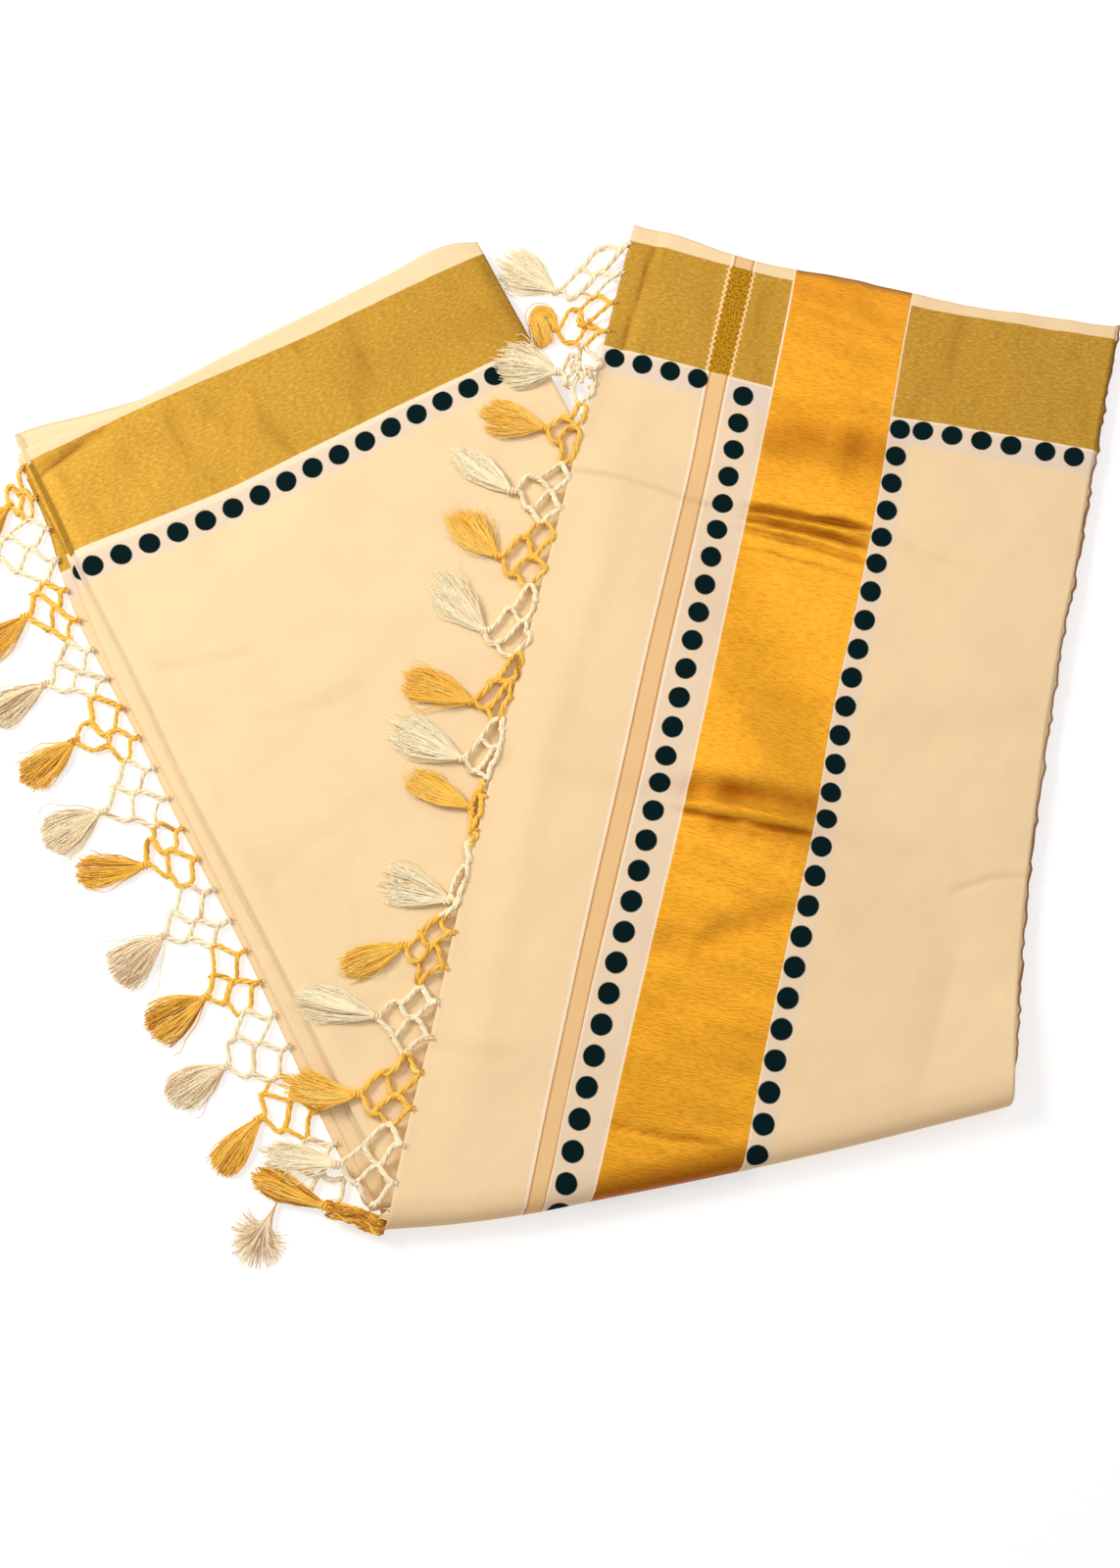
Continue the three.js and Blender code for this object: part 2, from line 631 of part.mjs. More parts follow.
// The net of one unit is drawn flat, x along the cloth's edge and y away from it, and then laid
// over what lies below. It owns the knot that it shares with the next unit.
function netBody(unit) {
  const { tuck } = FRINGE[unit];
  const places = {
    rootA: new THREE.Vector2(-0.25 * UNIT, KNOT_RADIUS),
    rootB: new THREE.Vector2(0.25 * UNIT, KNOT_RADIUS),
    before: new THREE.Vector2(-0.5 * UNIT, FIRST_ROW),
    middle: new THREE.Vector2(0, FIRST_ROW),
    after: new THREE.Vector2(0.5 * UNIT, FIRST_ROW),
    innerA: new THREE.Vector2(-0.25 * UNIT, SECOND_ROW),
    innerB: new THREE.Vector2(0.25 * UNIT, SECOND_ROW),
    tip: new THREE.Vector2(0, NET_DEPTH),
  };
  const short = (name) => places.before.clone().add(places[name].clone().sub(places.before)
    .setLength(KNOT_RADIUS + GAP));
  const cords = [
    ['rootA', 'middle'], ['middle', 'rootB'], ['rootB', 'after'], ['after', 'innerB'],
    ['middle', 'innerB'], ['middle', 'innerA'], ['innerB', 'tip'], ['innerA', 'tip'],
    ['innerA', 'beforeInner'], ['rootA', 'beforeRoot'],
  ];
  places.beforeInner = short('innerA');
  places.beforeRoot = short('rootA');
  if (tuck > 0) cords.pop();
  if (unit === CORNER_UNIT) cords.splice(-2);
  const [outside, ...gaps] = netLoops(places, cords);
  const shape = new THREE.Shape(outside);
  shape.holes = gaps.map((gap) => new THREE.Path(gap));
  let net = new THREE.ExtrudeGeometry(shape, { depth: CORD, bevelEnabled: false });
  if (tuck > 0) {
    const hidden = new THREE.BoxGeometry(2 * UNIT, 2 * NET_DEPTH, 4 * CORD);
    net = cut(net, hidden.translate(0, tuck - NET_DEPTH, 0));
  }
  return layNet(net, unit);
}

function layNet(flat, unit) {
  flat.deleteAttribute('normal');
  flat.deleteAttribute('uv');
  const net = mergeVertices(flat, WELD);
  const { position } = net.attributes;
  for (let k = 0; k < position.count; k += 1) {
    const point = netPoint(unit, position.getX(k) / UNIT, position.getY(k));
    position.setXYZ(k, point.x, point.y, point.z + position.getZ(k));
  }
  const { outward, onward } = unitFrame(unit);
  const mirrored = onward.cross(outward).z < 0;
  if (mirrored) net.setIndex([...net.index.array].reverse());
  return net;
}

// The tassel of one unit: a wound head and locks of thread that fan out in two layers
function tasselPieces(unit) {
  const row = FRINGE[unit];
  const tip = netPoint(unit, 0, NET_DEPTH);
  const { outward, onward } = unitFrame(unit);
  const lean = THREE.MathUtils.degToRad(row.lean);
  const forward = outward.clone().multiplyScalar(Math.cos(lean)).addScaledVector(onward, Math.sin(lean));
  const sideways = new THREE.Vector3(-forward.y, forward.x, 0);
  const back = tip.clone().addScaledVector(forward, -HEAD_RADIUS * HEAD.back);
  back.z += HEAD_RADIUS * HEAD.narrow;
  const neck = tip.clone().addScaledVector(forward, HEAD_RADIUS * HEAD.neck);
  neck.z += HEAD_RADIUS;
  const pieces = [bar(back, neck, HEAD_RADIUS * HEAD.narrow, HEAD_RADIUS, HEAD.sides)];
  for (const layer of [LOWER_LOCKS, UPPER_LOCKS]) {
    for (let k = 0; k < layer.locks; k += 1) {
      const share = 2 * k / (layer.locks - 1) - 1;
      const root = tip.clone().addScaledVector(forward, HEAD_RADIUS * HEAD.root);
      root.addScaledVector(sideways, share * HEAD_RADIUS * HEAD.spread);
      root.z = neck.z + (layer.rise / LOCK_RISE - 0.5) * HEAD_RADIUS * HEAD.narrow;
      const reach = row.length * layer.length * (1 - TIP_CURVE * share * share);
      const end = tip.clone().addScaledVector(forward, reach);
      end.addScaledVector(sideways, share * layer.spread * row.fan / 2);
      end.z = row.tipLie + 2 * GAP + LOCK_TIP / 2 + layer.rise;
      pieces.push(bar(root, end, LOCK_ROOT, LOCK_TIP, LOCK_SIDES));
    }
  }
  return pieces;
}

function fringeBody(unit) {
  return join([netBody(unit), ...tasselPieces(unit)]);
}

function clothMaterial(color, roughness, metalness) {
  return new THREE.MeshStandardMaterial({ color, roughness, metalness });
}

const saree = new THREE.Group();

function addPiece(name, geometry, material) {
  const mesh = new THREE.Mesh(geometry, material);
  mesh.name = name;
  saree.add(mesh);
}

const cream = clothMaterial(CREAM, 0.85, 0);
const gold = clothMaterial(GOLD, 0.45, 0.4);
const creamThread = clothMaterial(TASSEL_CREAM, 0.9, 0);
const goldThread = clothMaterial(TASSEL_GOLD, 0.7, 0.1);

addPiece('pallu_over_right_leg', palluTopBody(), gold);
addPiece('hidden_layers_right_leg', cut(rightCoreBody(), leftLegSpace()), cream);
addPiece('body_panel_left_leg', leftTopBody(), cream);
addPiece('hidden_layers_left_leg', leftCoreBody(), cream);
const secondLayer = underLayerBody(SECOND_EDGE, SECOND_SHEET_Z, SECOND_SHEET_FAR);
addPiece('second_layer_left_leg', secondLayer, cream);
addPiece('pallu_under_left_leg', underLayerBody(UNDER_EDGE, 0, UNDER_SHEET_FAR), cream);
for (let unit = 0; unit < FRINGE.length; unit += 1) {
  const number = String(unit + 1).padStart(2, '0');
  const thread = unit % 2 === 0 ? goldThread : creamThread;
  addPiece(`fringe_tassel_${number}`, fringeBody(unit), thread);
}

export default saree;
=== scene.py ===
"""A folded cotton saree with gold borders, rows of dots and a knotted, tasselled end.

Sizes are worked out in millimetres, as on the frame's solids, and become metres when a mesh is made.
Each leg is measured in its own directions: across, from its left edge to its right edge, and along,
from the fold corner to its far end.
"""
import math
from functools import partialmethod, reduce

import bpy
import numpy as np
from mathutils import Matrix, Vector


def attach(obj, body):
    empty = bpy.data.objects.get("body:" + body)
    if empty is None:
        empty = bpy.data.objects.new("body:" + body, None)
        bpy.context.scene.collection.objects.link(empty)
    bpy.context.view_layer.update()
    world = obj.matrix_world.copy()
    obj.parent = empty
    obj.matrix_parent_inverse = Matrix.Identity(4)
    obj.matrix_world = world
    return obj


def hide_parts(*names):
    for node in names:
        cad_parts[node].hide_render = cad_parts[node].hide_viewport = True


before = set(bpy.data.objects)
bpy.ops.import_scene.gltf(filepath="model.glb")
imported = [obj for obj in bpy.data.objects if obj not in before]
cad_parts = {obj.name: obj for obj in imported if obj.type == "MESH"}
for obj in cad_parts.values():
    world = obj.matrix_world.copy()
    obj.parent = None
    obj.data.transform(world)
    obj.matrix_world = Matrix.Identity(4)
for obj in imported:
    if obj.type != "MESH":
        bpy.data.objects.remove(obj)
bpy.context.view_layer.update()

MM = 0.001

# Driving sizes, as on the solids
FOLD_CORNER = np.array([-88.7, -305.2])
LEFT_HEADING = 117.1
RIGHT_HEADING = 76.9
LEFT_LENGTH = 528
STRIP_WIDTH = 322
STACK = 10.5
GAP = 0.3
FOLD_RADIUS = STACK
FOLD_SLOPE = {"across": 0.404, "along": -0.915}
LEFT_FOLD_SLOPE = -0.293
RAMP_INSIDE = -20
RAMP_OUTSIDE = 60
FOLD_FADE = 90
BEND_STEPS = 14
DROOP = 3.5
DROOP_WIDTH = 34
LEFT_DROOP = 1.2
LEFT_DROOP_WIDTH = 9
CLOTH = 0.6
LAYERS_IN_STACK = 15

# Fringe sizes, as on the solids
UNIT = 41.9
NET_DEPTH = 38
CORNER_UNIT = 12
# The tassels of each leg: how uneven their ends are, how much the threads' tones differ, how pale they are
LEFT_TASSELS = (0.025, 0.27, -0.08)
RIGHT_TASSELS = (0.07, 0.18, 0.2)
STRAYS = 0.05
CORNER_HEADING = 161
CORNER_HEIGHT = 8
CORNER_CLEARANCE = 1.5
CORNER_SQUEEZE = 0.4
FIRST_ROW = 14
SECOND_ROW = 26
RIM_CLEARANCE = 0.7
SETTLED = 0.35
BLEND = {"from": 0.2, "to": 0.8}
HEAD_RADIUS = 3.1

# Fine fringe sizes, which the solids leave out
CORD_PLIES = 3
PLY_RADIUS = 0.98
PLY_OFFSET = 0.84
TWIST_PITCH = 17
CORD_STEPS = 14
STRANDS = 230
STRAND_RADIUS = 0.36
STRAND_STEPS = 9
LOCKS = 20
# How far each tassel curls, in radians, and between which shares of its length
CURLS = {26: (3.1, 0.22, 0.62), 14: (-0.5, 0, 1), 9: (0.25, 0, 1), 13: (0.3, 0, 1), 20: (0.2, 0, 1),
         22: (-0.3, 0, 1)}
# How many loose cords lie bunched in a net, and the tassel that is a round tuft, with its radius
BUNCHED = {12: 40, 25: 4, 26: 2}
TUFT = 11
TUFT_RADIUS = 18


def rows(columns, *values):
    """A table with named columns, one row for each tuple. It is read by its first column."""
    return {name: np.array(column, float) for name, column in zip(columns.split(), zip(*values))}


# Outline of the right leg: its side edges by the share of its length, its ends by the share of its width
RIGHT_SIDES = rows("share left right",
                   (0, 0, 339), (0.06, -1.8, 335), (0.16, -1.6, 331.1), (0.27, -3.2, 327),
                   (0.36, -3.6, 324.6), (0.46, -3, 322.5), (0.57, -1.8, 321.5), (0.66, -1, 322.5),
                   (0.8, -0.3, 321.5), (1, 0.5, 321.5))
RIGHT_ENDS = rows("share fold far",
                  (0, 0, 649), (0.11, 11, 646.5), (0.21, 23.5, 642.5), (0.34, 43, 642.5),
                  (0.46, 61, 645), (0.58, 79.5, 645), (0.72, 102, 646), (0.88, 129, 652),
                  (0.96, 142.5, 653.8), (1, 149.5, 655.6))
# Outline of the left leg's top panel, and of the layers below it
LEFT_SIDES = rows("share left right",
                  (0, 11, 322), (0.2, 11, 322), (0.37, 9.5, 322), (0.54, 6.6, 322), (0.68, 7, 322),
                  (0.83, 5.5, 322), (0.9, 6.4, 322), (1, 5.5, 321.5))
LEFT_ENDS = rows("share far",
                 (0, 525.5), (0.12, 523.5), (0.3, 524), (0.5, 528), (0.65, 530), (0.8, 532),
                 (0.96, 532.5), (1, 528))
LEFT_INNER_ENDS = rows("share far", (0, 538), (0.06, 535.5), (0.17, 528), (0.3, 522), (1, 524))
UNDER_EDGE = rows("along across",
                  (0, -4), (30, -6.5), (110, -7), (183, -6), (264, -8.5), (326, -8.7), (370, -10.3),
                  (420, -10.8), (442, -8.5), (475, -3.6), (528, -2))
SECOND_EDGE = rows("along across",
                   (0, 0), (120, -1), (250, -2.6), (430, -2.5), (450, -0.4), (500, -1), (528, 0))

# One row for each fringe unit, from the left leg's far end round the fold to the right leg's
FRINGE = rows("out drift lean length fan tuck lie tip_lie",
              (19, 8, 24, 35, 15, 0, 0, 0), (40, -7, 7, 36, 17, 0, 0, 0),
              (37.5, -5.5, 21, 36, 17, 0, 0, 0), (45.5, -3, 7, 38, 17, 0, 0, 0),
              (43.5, -4.5, 16, 38, 18, 0, 0, 0), (47, 0.5, 1, 37, 21, 0, 0, 0),
              (37, 0, -16, 40, 16, 0, 0, 0), (44.5, 1.5, 17, 37, 22, 0, 0, 0),
              (37.5, 4, 4, 38, 22, 0, 0, 0), (44, 4, -3, 37, 19, 0, 0, 0),
              (39, -1.5, 23, 38, 16, 0, 0, 0), (47.5, 2, 37, 44, 24, 0, 0, 0),
              (38.5, 0, 5, 44, 12, 0, 5, 5), (36, -9, 4, 40, 13, 0, 11, 7),
              (35, -9.5, -20, 38, 16, 0, 11, 8), (35.5, -5.5, -1, 42, 17, 0, 11, 11),
              (29.5, -3.5, -35, 36, 15, 0, 11, 11), (10, -13, 5, 37, 20, 25, 11, 11),
              (12, 2.5, 11, 37, 15, 22, 11, 11), (23, -11.5, 11, 42, 20, 12, 11, 11),
              (26, -18, 13, 40, 18, 10, 11, 11), (29, -14.5, 35, 42, 18, 6, 11, 11),
              (32, -7.5, 22, 36, 18, 3, 11, 11), (34, -6.5, 21, 41, 14, 3, 11, 11),
              (23.5, -2.5, 1, 38, 20, 8, 11, 11), (24, -6, 0, 35, 24, 5, 11, 11),
              (33, -14.5, 59, 43, 9, 0, 0, 0), (38.5, -31, 19, 38, 26, 0, 0, 0))
UNITS = len(FRINGE["out"])

# Where the woven pattern lies on the right leg, by the distance along it
BANDS = rows("along line_in line_out dots_in gold_in dots_out",
             (30, 75.6, 85.6, 95.0, 112.0, 199.5), (90, 73.8, 84.6, 93.9, 112.0, 199.2),
             (150, 72.8, 83.6, 94.2, 112.1, 197.9), (215, 72.0, 83.8, 95.3, 112.8, 198.2),
             (290, 71.9, 84.1, 96.3, 113.7, 200.0), (360, 71.0, 83.2, 96.4, 113.4, 198.3),
             (440, 71.6, 83.4, 96.9, 113.3, 199.2), (500, 71.8, 83.2, 96.4, 113.2, 198.9),
             (555, 69.8, 82.0, 94.2, 112.4, 196.6), (625, 69.2, 82.2, 94.0, 110.7, 194.0),
             (660, 69.2, 82.3, 94.0, 109.0, 193.5))
BAND_PLACES = {"line_in": 71.5, "line_out": 83.5, "dots_in": 96, "gold_in": 112.5, "dots_out": 198.5}
GOLD_OUT = 192
# How far along each tenth dot of a column lies, with the cloth that the creases take up
COLUMN = rows("along dots",
              (-60, 32.87), (48.5, 27), (104.2, 24), (197.2, 19), (272.4, 15), (290.1, 14), (306.4, 13),
              (400, 8), (457.7, 5), (475, 4), (548.8, 0), (733.8, -10))
PITCH = 18.5
DOT_RADIUS = 6.6
FIRST_DOT = -10.6
COLUMN_DOTS = 31
# The pallu end's row of dots, on each side of its bands: the first one's place and how many
ROW_DOTS = ((8.9, 4), (211.2, 6))
RIGHT_BORDER = rows("across low top",
                    (-10, 562, 638), (8, 561.8, 637.2), (68, 560.3, 634.5), (105, 559.4, 634.3),
                    (190, 559, 636.5), (211, 561, 637.5), (250, 563.5, 640.5), (321, 568, 646.6),
                    (345, 569, 648))
RIGHT_ROW = rows("across place",
                 (-20, -20), (8.9, 8.9), (63.7, 64.4), (211.2, 211.2), (230, 229.7), (275.2, 273.7),
                 (283.2, 278.2), (309, 303.7), (345, 339.7))
LEFT_BORDER = rows("across row low top",
                   (-12, 437, 452, 517.3), (6, 437.7, 452, 517.3), (30, 436.3, 450.5, 517.5),
                   (54, 434.9, 449, 518), (80, 433.5, 447.4, 518.4), (112, 433.2, 446.2, 517.8),
                   (150, 434.8, 447.2, 517), (185, 436, 448, 516.5), (235, 438.7, 449.1, 517.5),
                   (295, 440.2, 448.9, 518.5), (330, 440.6, 448.9, 518.7))
LEFT_ROW_DOTS = 17
LEFT_FIRST_DOT = 12.4
SECOND_FIRST_DOT = 5.2
BORDER_TOP = 76.5
SELVEDGE_TOP = 86.5
PANEL_WIDTH = 321
RIGHT_DOT_ROW = -7
LEFT_DOT_ROW = -12.3
# Where the pallu end's stripes run, on the evened cloth: the white lines beside the tan stripe, that
# stripe with its edges and without them, and the gold band with its white lines and without them
WHITE_LINES = (69.7, 85.3)
STRIPE_EDGES = (71.5, 83.7)
STRIPE_MIDDLE = (72.7, 82.5)
GOLD_LINES = (111.4, GOLD_OUT + 0.4)
GOLD_WEAVE = (112.6, GOLD_OUT - 0.6)


def creases(runs, *values):
    """Creases that run one way. Each row has the ridge's height (a trough if negative), its half width,
    how much painted shade darkens the colour in it, and its path in leg coordinates, the way that it runs
    first."""
    return [{"runs": runs, "height": height, "width": width, "shade": shade, "path": np.array(path)}
            for height, width, shade, *path in values]


# Shade column: painted shade that darkens the colour in troughs; wide low rows are patches of painted shade
RIGHT_CREASES = creases(
    "across",
    (-0.7, 2.2, 0.6, (-8, 471), (35, 474), (83, 472), (111, 474)),
    (0.4, 3, 0, (-8, 466), (35, 469), (83, 467), (111, 469)),
    (-1.2, 2.9, 1, (112, 477.5), (150, 480), (184, 482)),
    (-0.5, 1.6, 0.85, (150, 479.5), (172, 481), (197, 482.5)),
    (0.4, 1.6, 0, (110, 473.5), (150, 475.2), (194, 477.5)),
    (-1.1, 2.6, 1, (112, 469.9), (150, 471.6), (192, 470.9)),
    (0.5, 2.4, 0, (110, 465.5), (150, 467), (194, 465.5)),
    (-0.8, 2.4, 0.5, (112, 461.9), (150, 462.5), (192, 460.1)),
    (-0.35, 0.9, 0.55, (112, 451), (150, 451.5), (190, 448.9)),
    (-0.9, 19, 0.6, (112, 526), (145, 532), (205, 533)),
    (0.6, 6, 0, (112, 547), (150, 551), (200, 554)),
    (-0.4, 4, 0.22, (186, 475), (220, 474), (262, 471)),
    (-0.8, 9, 0.25, (-8, 281), (54, 280), (114, 287)),
    (-1.6, 8, 0.8, (108, 291.5), (130, 294), (150, 297), (170, 299), (197, 299)),
    (0.9, 3.4, 0, (108, 282.5), (150, 285), (196, 287.5)),
    (-0.8, 2.1, 0.85, (110, 276), (150, 278.4), (194, 281)),
    (-0.5, 6, 0.4, (126, 272), (160, 274), (197, 277)),
    (-0.5, 8, 0.15, (190, 283), (236, 285), (268, 287)),
    (-0.55, 5, 0.3, (-4, 108), (20, 109), (52, 113)),
    (-0.9, 10, 0.32, (110, 196), (140, 203), (170, 222), (194, 232)),
    (-0.5, 9, 0.1, (112, 150), (150, 146), (192, 152)),
    (-0.7, 1.9, 0.6, (111, 86.5), (150, 87.6), (182, 92)),
    (-0.6, 8, 0.12, (120, 97), (150, 98), (185, 98)),
    (-0.9, 2.6, 0.35, (285, 268), (305, 281), (329, 288)),
    (0.9, 14, 0, (270, 214), (296, 226), (330, 240)),
    (-0.7, 16, 0.1, (250, 360), (290, 372), (330, 380)),
    (0.8, 20, 0, (210, 150), (260, 140), (320, 128)),
) + creases(
    "along",
    (-0.8, 1.5, 0.55, (558, 11.5), (600, 14), (644, 17)),
    (0.3, 3, 0.12, (555, 7), (600, 9), (644, 12)),
    (0.6, 4, 0, (555, 19), (600, 21), (644, 24)),
    (-0.5, 9, 0.12, (120, 40), (300, 34), (450, 46)),
    (0.5, 16, 0, (60, 262), (200, 270), (420, 262)),
)
LEFT_CREASES = creases(
    "across",
    (-0.6, 1.3, 0.6, (4, 504.5), (20, 508.5), (40, 513)),
    (-0.6, 4, 0.4, (6, 508.5), (30, 513), (58, 517)),
    (-0.6, 3.4, 0.4, (20, 360), (50, 352), (78, 345)),
    (-0.5, 5, 0.22, (60, 305), (100, 296), (130, 294)),
    (0.8, 12, 0, (120, 352), (160, 330), (210, 322)),
    (-0.7, 10, 0.12, (170, 410), (210, 372), (250, 352)),
    (-0.5, 14, 0.08, (200, 478), (260, 482), (318, 476)),
    (-0.5, 7, 0.12, (20, 210), (60, 222), (110, 228)),
) + creases(
    "along",
    (-0.4, 5, 0.1, (20, 30), (250, 24), (440, 16)),
    (-1.1, 6, 0.32, (440, 322), (500, 321), (560, 319)),
    (0.7, 12, 0, (60, 90), (160, 84), (240, 70)),
)

# Where the grids of the two top sheets need closer rows: centre, spread and strength, as shares
RIGHT_CROWDS = [(0.72, 0.03, 4), (0.42, 0.035, 2.5), (0.98, 0.03, 1), (0.01, 0.03, 1)]
LEVEL_FROM = 0.4
LEFT_CROWDS = [(0.96, 0.06, 1.2), (0.01, 0.03, 1)]


# Interpolation

def mix(a, b, share):
    return a + (b - a) * share


def ramp(value, low, high):
    share = np.clip((np.asarray(value, float) - low) / (high - low), 0, 1)
    return share * share * (3 - 2 * share)


def look_up(table, column, value):
    return np.interp(value, next(iter(table.values())), table[column])


def curve(table, column, value):
    """A smooth curve through a table's rows."""
    x, y = next(iter(table.values())), table[column]
    slope = np.gradient(y, x)
    value = np.clip(value, x[0], x[-1])
    k = np.clip(np.searchsorted(x, value, side="right") - 1, 0, len(x) - 2)
    step = x[k + 1] - x[k]
    t = (value - x[k]) / step
    bends = slope[k] * step * t * (1 - t) ** 2 - slope[k + 1] * step * t * t * (1 - t)
    return mix(y[k], y[k + 1], t * t * (3 - 2 * t)) + bends


def smooth_noise(value, seed, wavelength, amplitude):
    """A gentle, uneven wave, the same on each run."""
    random = np.random.default_rng(seed)
    total = np.zeros_like(np.asarray(value, float))
    for octave in range(4):
        length = wavelength / (1 + 0.63 * octave)
        total += np.sin(2 * np.pi * (value / length + random.random())) / (1 + 0.5 * octave)
    return total * amplitude / 2


# Legs

def leg_axes(heading):
    turn = math.radians(heading)
    return {"along": np.array([math.cos(turn), math.sin(turn)]),
            "across": np.array([math.sin(turn), -math.cos(turn)])}


LEFT = leg_axes(LEFT_HEADING)
RIGHT = leg_axes(RIGHT_HEADING)


def leg_point(leg, across, along, z):
    across, along, z = np.broadcast_arrays(across, along, z)
    flat = FOLD_CORNER + across[..., None] * leg["across"] + along[..., None] * leg["along"]
    return np.concatenate([flat, z[..., None]], axis=-1)


def creased(table, across, along):
    """The height of the creases, and the painted shade in them."""
    height = np.zeros(np.broadcast(across, along).shape)
    shade = np.zeros_like(height)
    for crease in table:
        run, side = (across, along) if crease["runs"] == "across" else (along, across)
        (start, low), (end, _) = crease["path"][[0, -1]]
        middle = np.interp(run, *crease["path"].T) + smooth_noise(run, int(low) + 90, 37, 0.5)
        fade = 0.12 * (end - start)
        ends = ramp(run, start - fade, start + fade) * (1 - ramp(run, end - fade, end + fade))
        uneven = ends * (1 + smooth_noise(run, int(low) + 400, 61, 0.3))
        bump = uneven * np.exp(-((side - middle) / crease["width"]) ** 2)
        height += crease["height"] * bump
        shade += crease["shade"] * bump
    return height, np.clip(shade, 0, 1)


def right_top(across, along, left_edge, above_fold):
    across_left = across * RIGHT["across"].dot(LEFT["across"]) + along * RIGHT["along"].dot(LEFT["across"])
    over_left = 1 - ramp(across_left - STRIP_WIDTH, RAMP_INSIDE, RAMP_OUTSIDE)
    at_fold = 1 - ramp(above_fold, 0, FOLD_FADE)
    droop = DROOP * (1 - ramp(across - left_edge, 0, DROOP_WIDTH)) * ramp(above_fold, 0, FOLD_FADE)
    return STACK * (1 + np.maximum(over_left, at_fold)) - droop


def left_top(across, left_edge):
    return STACK - LEFT_DROOP * (1 - ramp(across - left_edge, 0, LEFT_DROOP_WIDTH))


def right_place(u, v):
    """Across, along, the left edge and the height above the bend, from shares of width and length."""
    left = curve(RIGHT_SIDES, "left", v)
    across = mix(left, curve(RIGHT_SIDES, "right", v), u)
    straight = curve(RIGHT_ENDS, "fold", u) - FOLD_RADIUS / FOLD_SLOPE["along"]
    along = mix(straight, curve(RIGHT_ENDS, "far", u), v)
    return across, along, left, (straight - along) * FOLD_SLOPE["along"]


def level_rows(u, w):
    """Shares of the right leg's length whose rows run straight across, as its creases do, instead of
    slanting as its fold does."""
    straight = curve(RIGHT_ENDS, "fold", u) - FOLD_RADIUS / FOLD_SLOPE["along"]
    far = curve(RIGHT_ENDS, "far", u)
    corner, length = straight[0, 0], far[0, 0] - straight[0, 0]
    along = corner + w * length + (straight - corner) * np.clip(1 - w / LEVEL_FROM, 0, 1)
    along += (far - far[0, 0]) * ramp(w, 0.85, 1)
    return (along - straight) / (far - straight)


def left_fold_line(across):
    return LEFT_FOLD_SLOPE * across + FOLD_RADIUS / math.cos(math.atan(LEFT_FOLD_SLOPE)) + GAP


def left_place(u, v, ends):
    left = curve(LEFT_SIDES, "left", v)
    across = mix(left, curve(LEFT_SIDES, "right", v), u)
    return across, mix(left_fold_line(across), curve(ends, "far", u), v), left


# Pattern coordinates: where a point lies on the woven cloth, so that its stripes and dots are regular

def through(value, places, targets):
    """Maps each value through lines that lie at uneven places to their even targets."""
    result = targets[0] + (value - places[0])
    for k in range(len(places) - 1):
        share = (value - places[k]) / (places[k + 1] - places[k])
        inside = mix(targets[k], targets[k + 1], share)
        result = np.where(value > places[k], inside, result)
    return np.where(value > places[-1], targets[-1] + value - places[-1], result)


def pallu_bands(across, along):
    """Coordinates for what runs the length of the pallu end: lines, columns of dots, the gold band."""
    line = {name: curve(BANDS, name, along) for name in BAND_PLACES}
    half = DOT_RADIUS + 0.4

    def lanes(lines, inner, outer):
        return [inner, lines["line_in"], lines["line_out"], lines["dots_in"] - half,
                lines["dots_in"] + half, lines["gold_in"], lines["dots_out"] - half,
                lines["dots_out"] + half, outer]

    place = through(across, lanes(line, 0 * along, PANEL_WIDTH + 0 * along),
                    lanes(BAND_PLACES, 0, PANEL_WIDTH))
    dots = look_up(COLUMN, "dots", along - 0.028 * (across - 95.5))
    return np.stack([place, FIRST_DOT - PITCH * dots], axis=-1)


def right_border(across, along, far):
    low = curve(RIGHT_BORDER, "low", across)
    top = curve(RIGHT_BORDER, "top", across)
    row = look_up(RIGHT_ROW, "place", across)
    return np.stack([row, through(along, [low, top, far], [0, BORDER_TOP, SELVEDGE_TOP])], axis=-1)


def left_border(across, along, far):
    line = {name: curve(LEFT_BORDER, name, across) for name in ("row", "low", "top")}
    half = DOT_RADIUS + 0.6
    places = [line["row"], line["row"] + half, line["low"], line["top"], far]
    targets = [LEFT_DOT_ROW, LEFT_DOT_ROW + half, 0, BORDER_TOP, SELVEDGE_TOP]
    return np.stack([across, through(along, places, targets)], axis=-1)


# Meshes

def add_object(name, data):
    made = bpy.data.objects.new(name, data)
    bpy.context.scene.collection.objects.link(made)
    return made


def new_mesh(name, points, faces, material, maps=None, smooth=True, values=None):
    """A mesh object. faces is a list of arrays, each with its own number of corners; maps holds UV
    coordinates and values holds numbers, for each point."""
    mesh = bpy.data.meshes.new(name)
    points = np.asarray(points, float).reshape(-1, 3) * MM
    mesh.vertices.add(len(points))
    mesh.vertices.foreach_set("co", points.ravel())
    corners = np.concatenate([np.asarray(group).ravel() for group in faces])
    sizes = np.concatenate([np.full(len(group), group.shape[1]) for group in faces])
    mesh.loops.add(len(corners))
    mesh.loops.foreach_set("vertex_index", corners)
    mesh.polygons.add(len(sizes))
    mesh.polygons.foreach_set("loop_start", np.concatenate([[0], np.cumsum(sizes)[:-1]]))
    mesh.polygons.foreach_set("loop_total", sizes)
    mesh.polygons.foreach_set("use_smooth", np.broadcast_to(smooth, len(sizes)))
    mesh.update(calc_edges=True)
    for label, coordinates in (maps or {}).items():
        layer = mesh.uv_layers.new(name=label)
        layer.data.foreach_set("uv", np.asarray(coordinates, float).reshape(-1, 2)[corners].ravel())
    for label, numbers in (values or {}).items():
        attribute = mesh.attributes.new(label, "FLOAT", "POINT")
        attribute.data.foreach_set("value", np.asarray(numbers, np.float32).ravel())
    mesh.materials.append(material)
    return add_object(name, mesh)


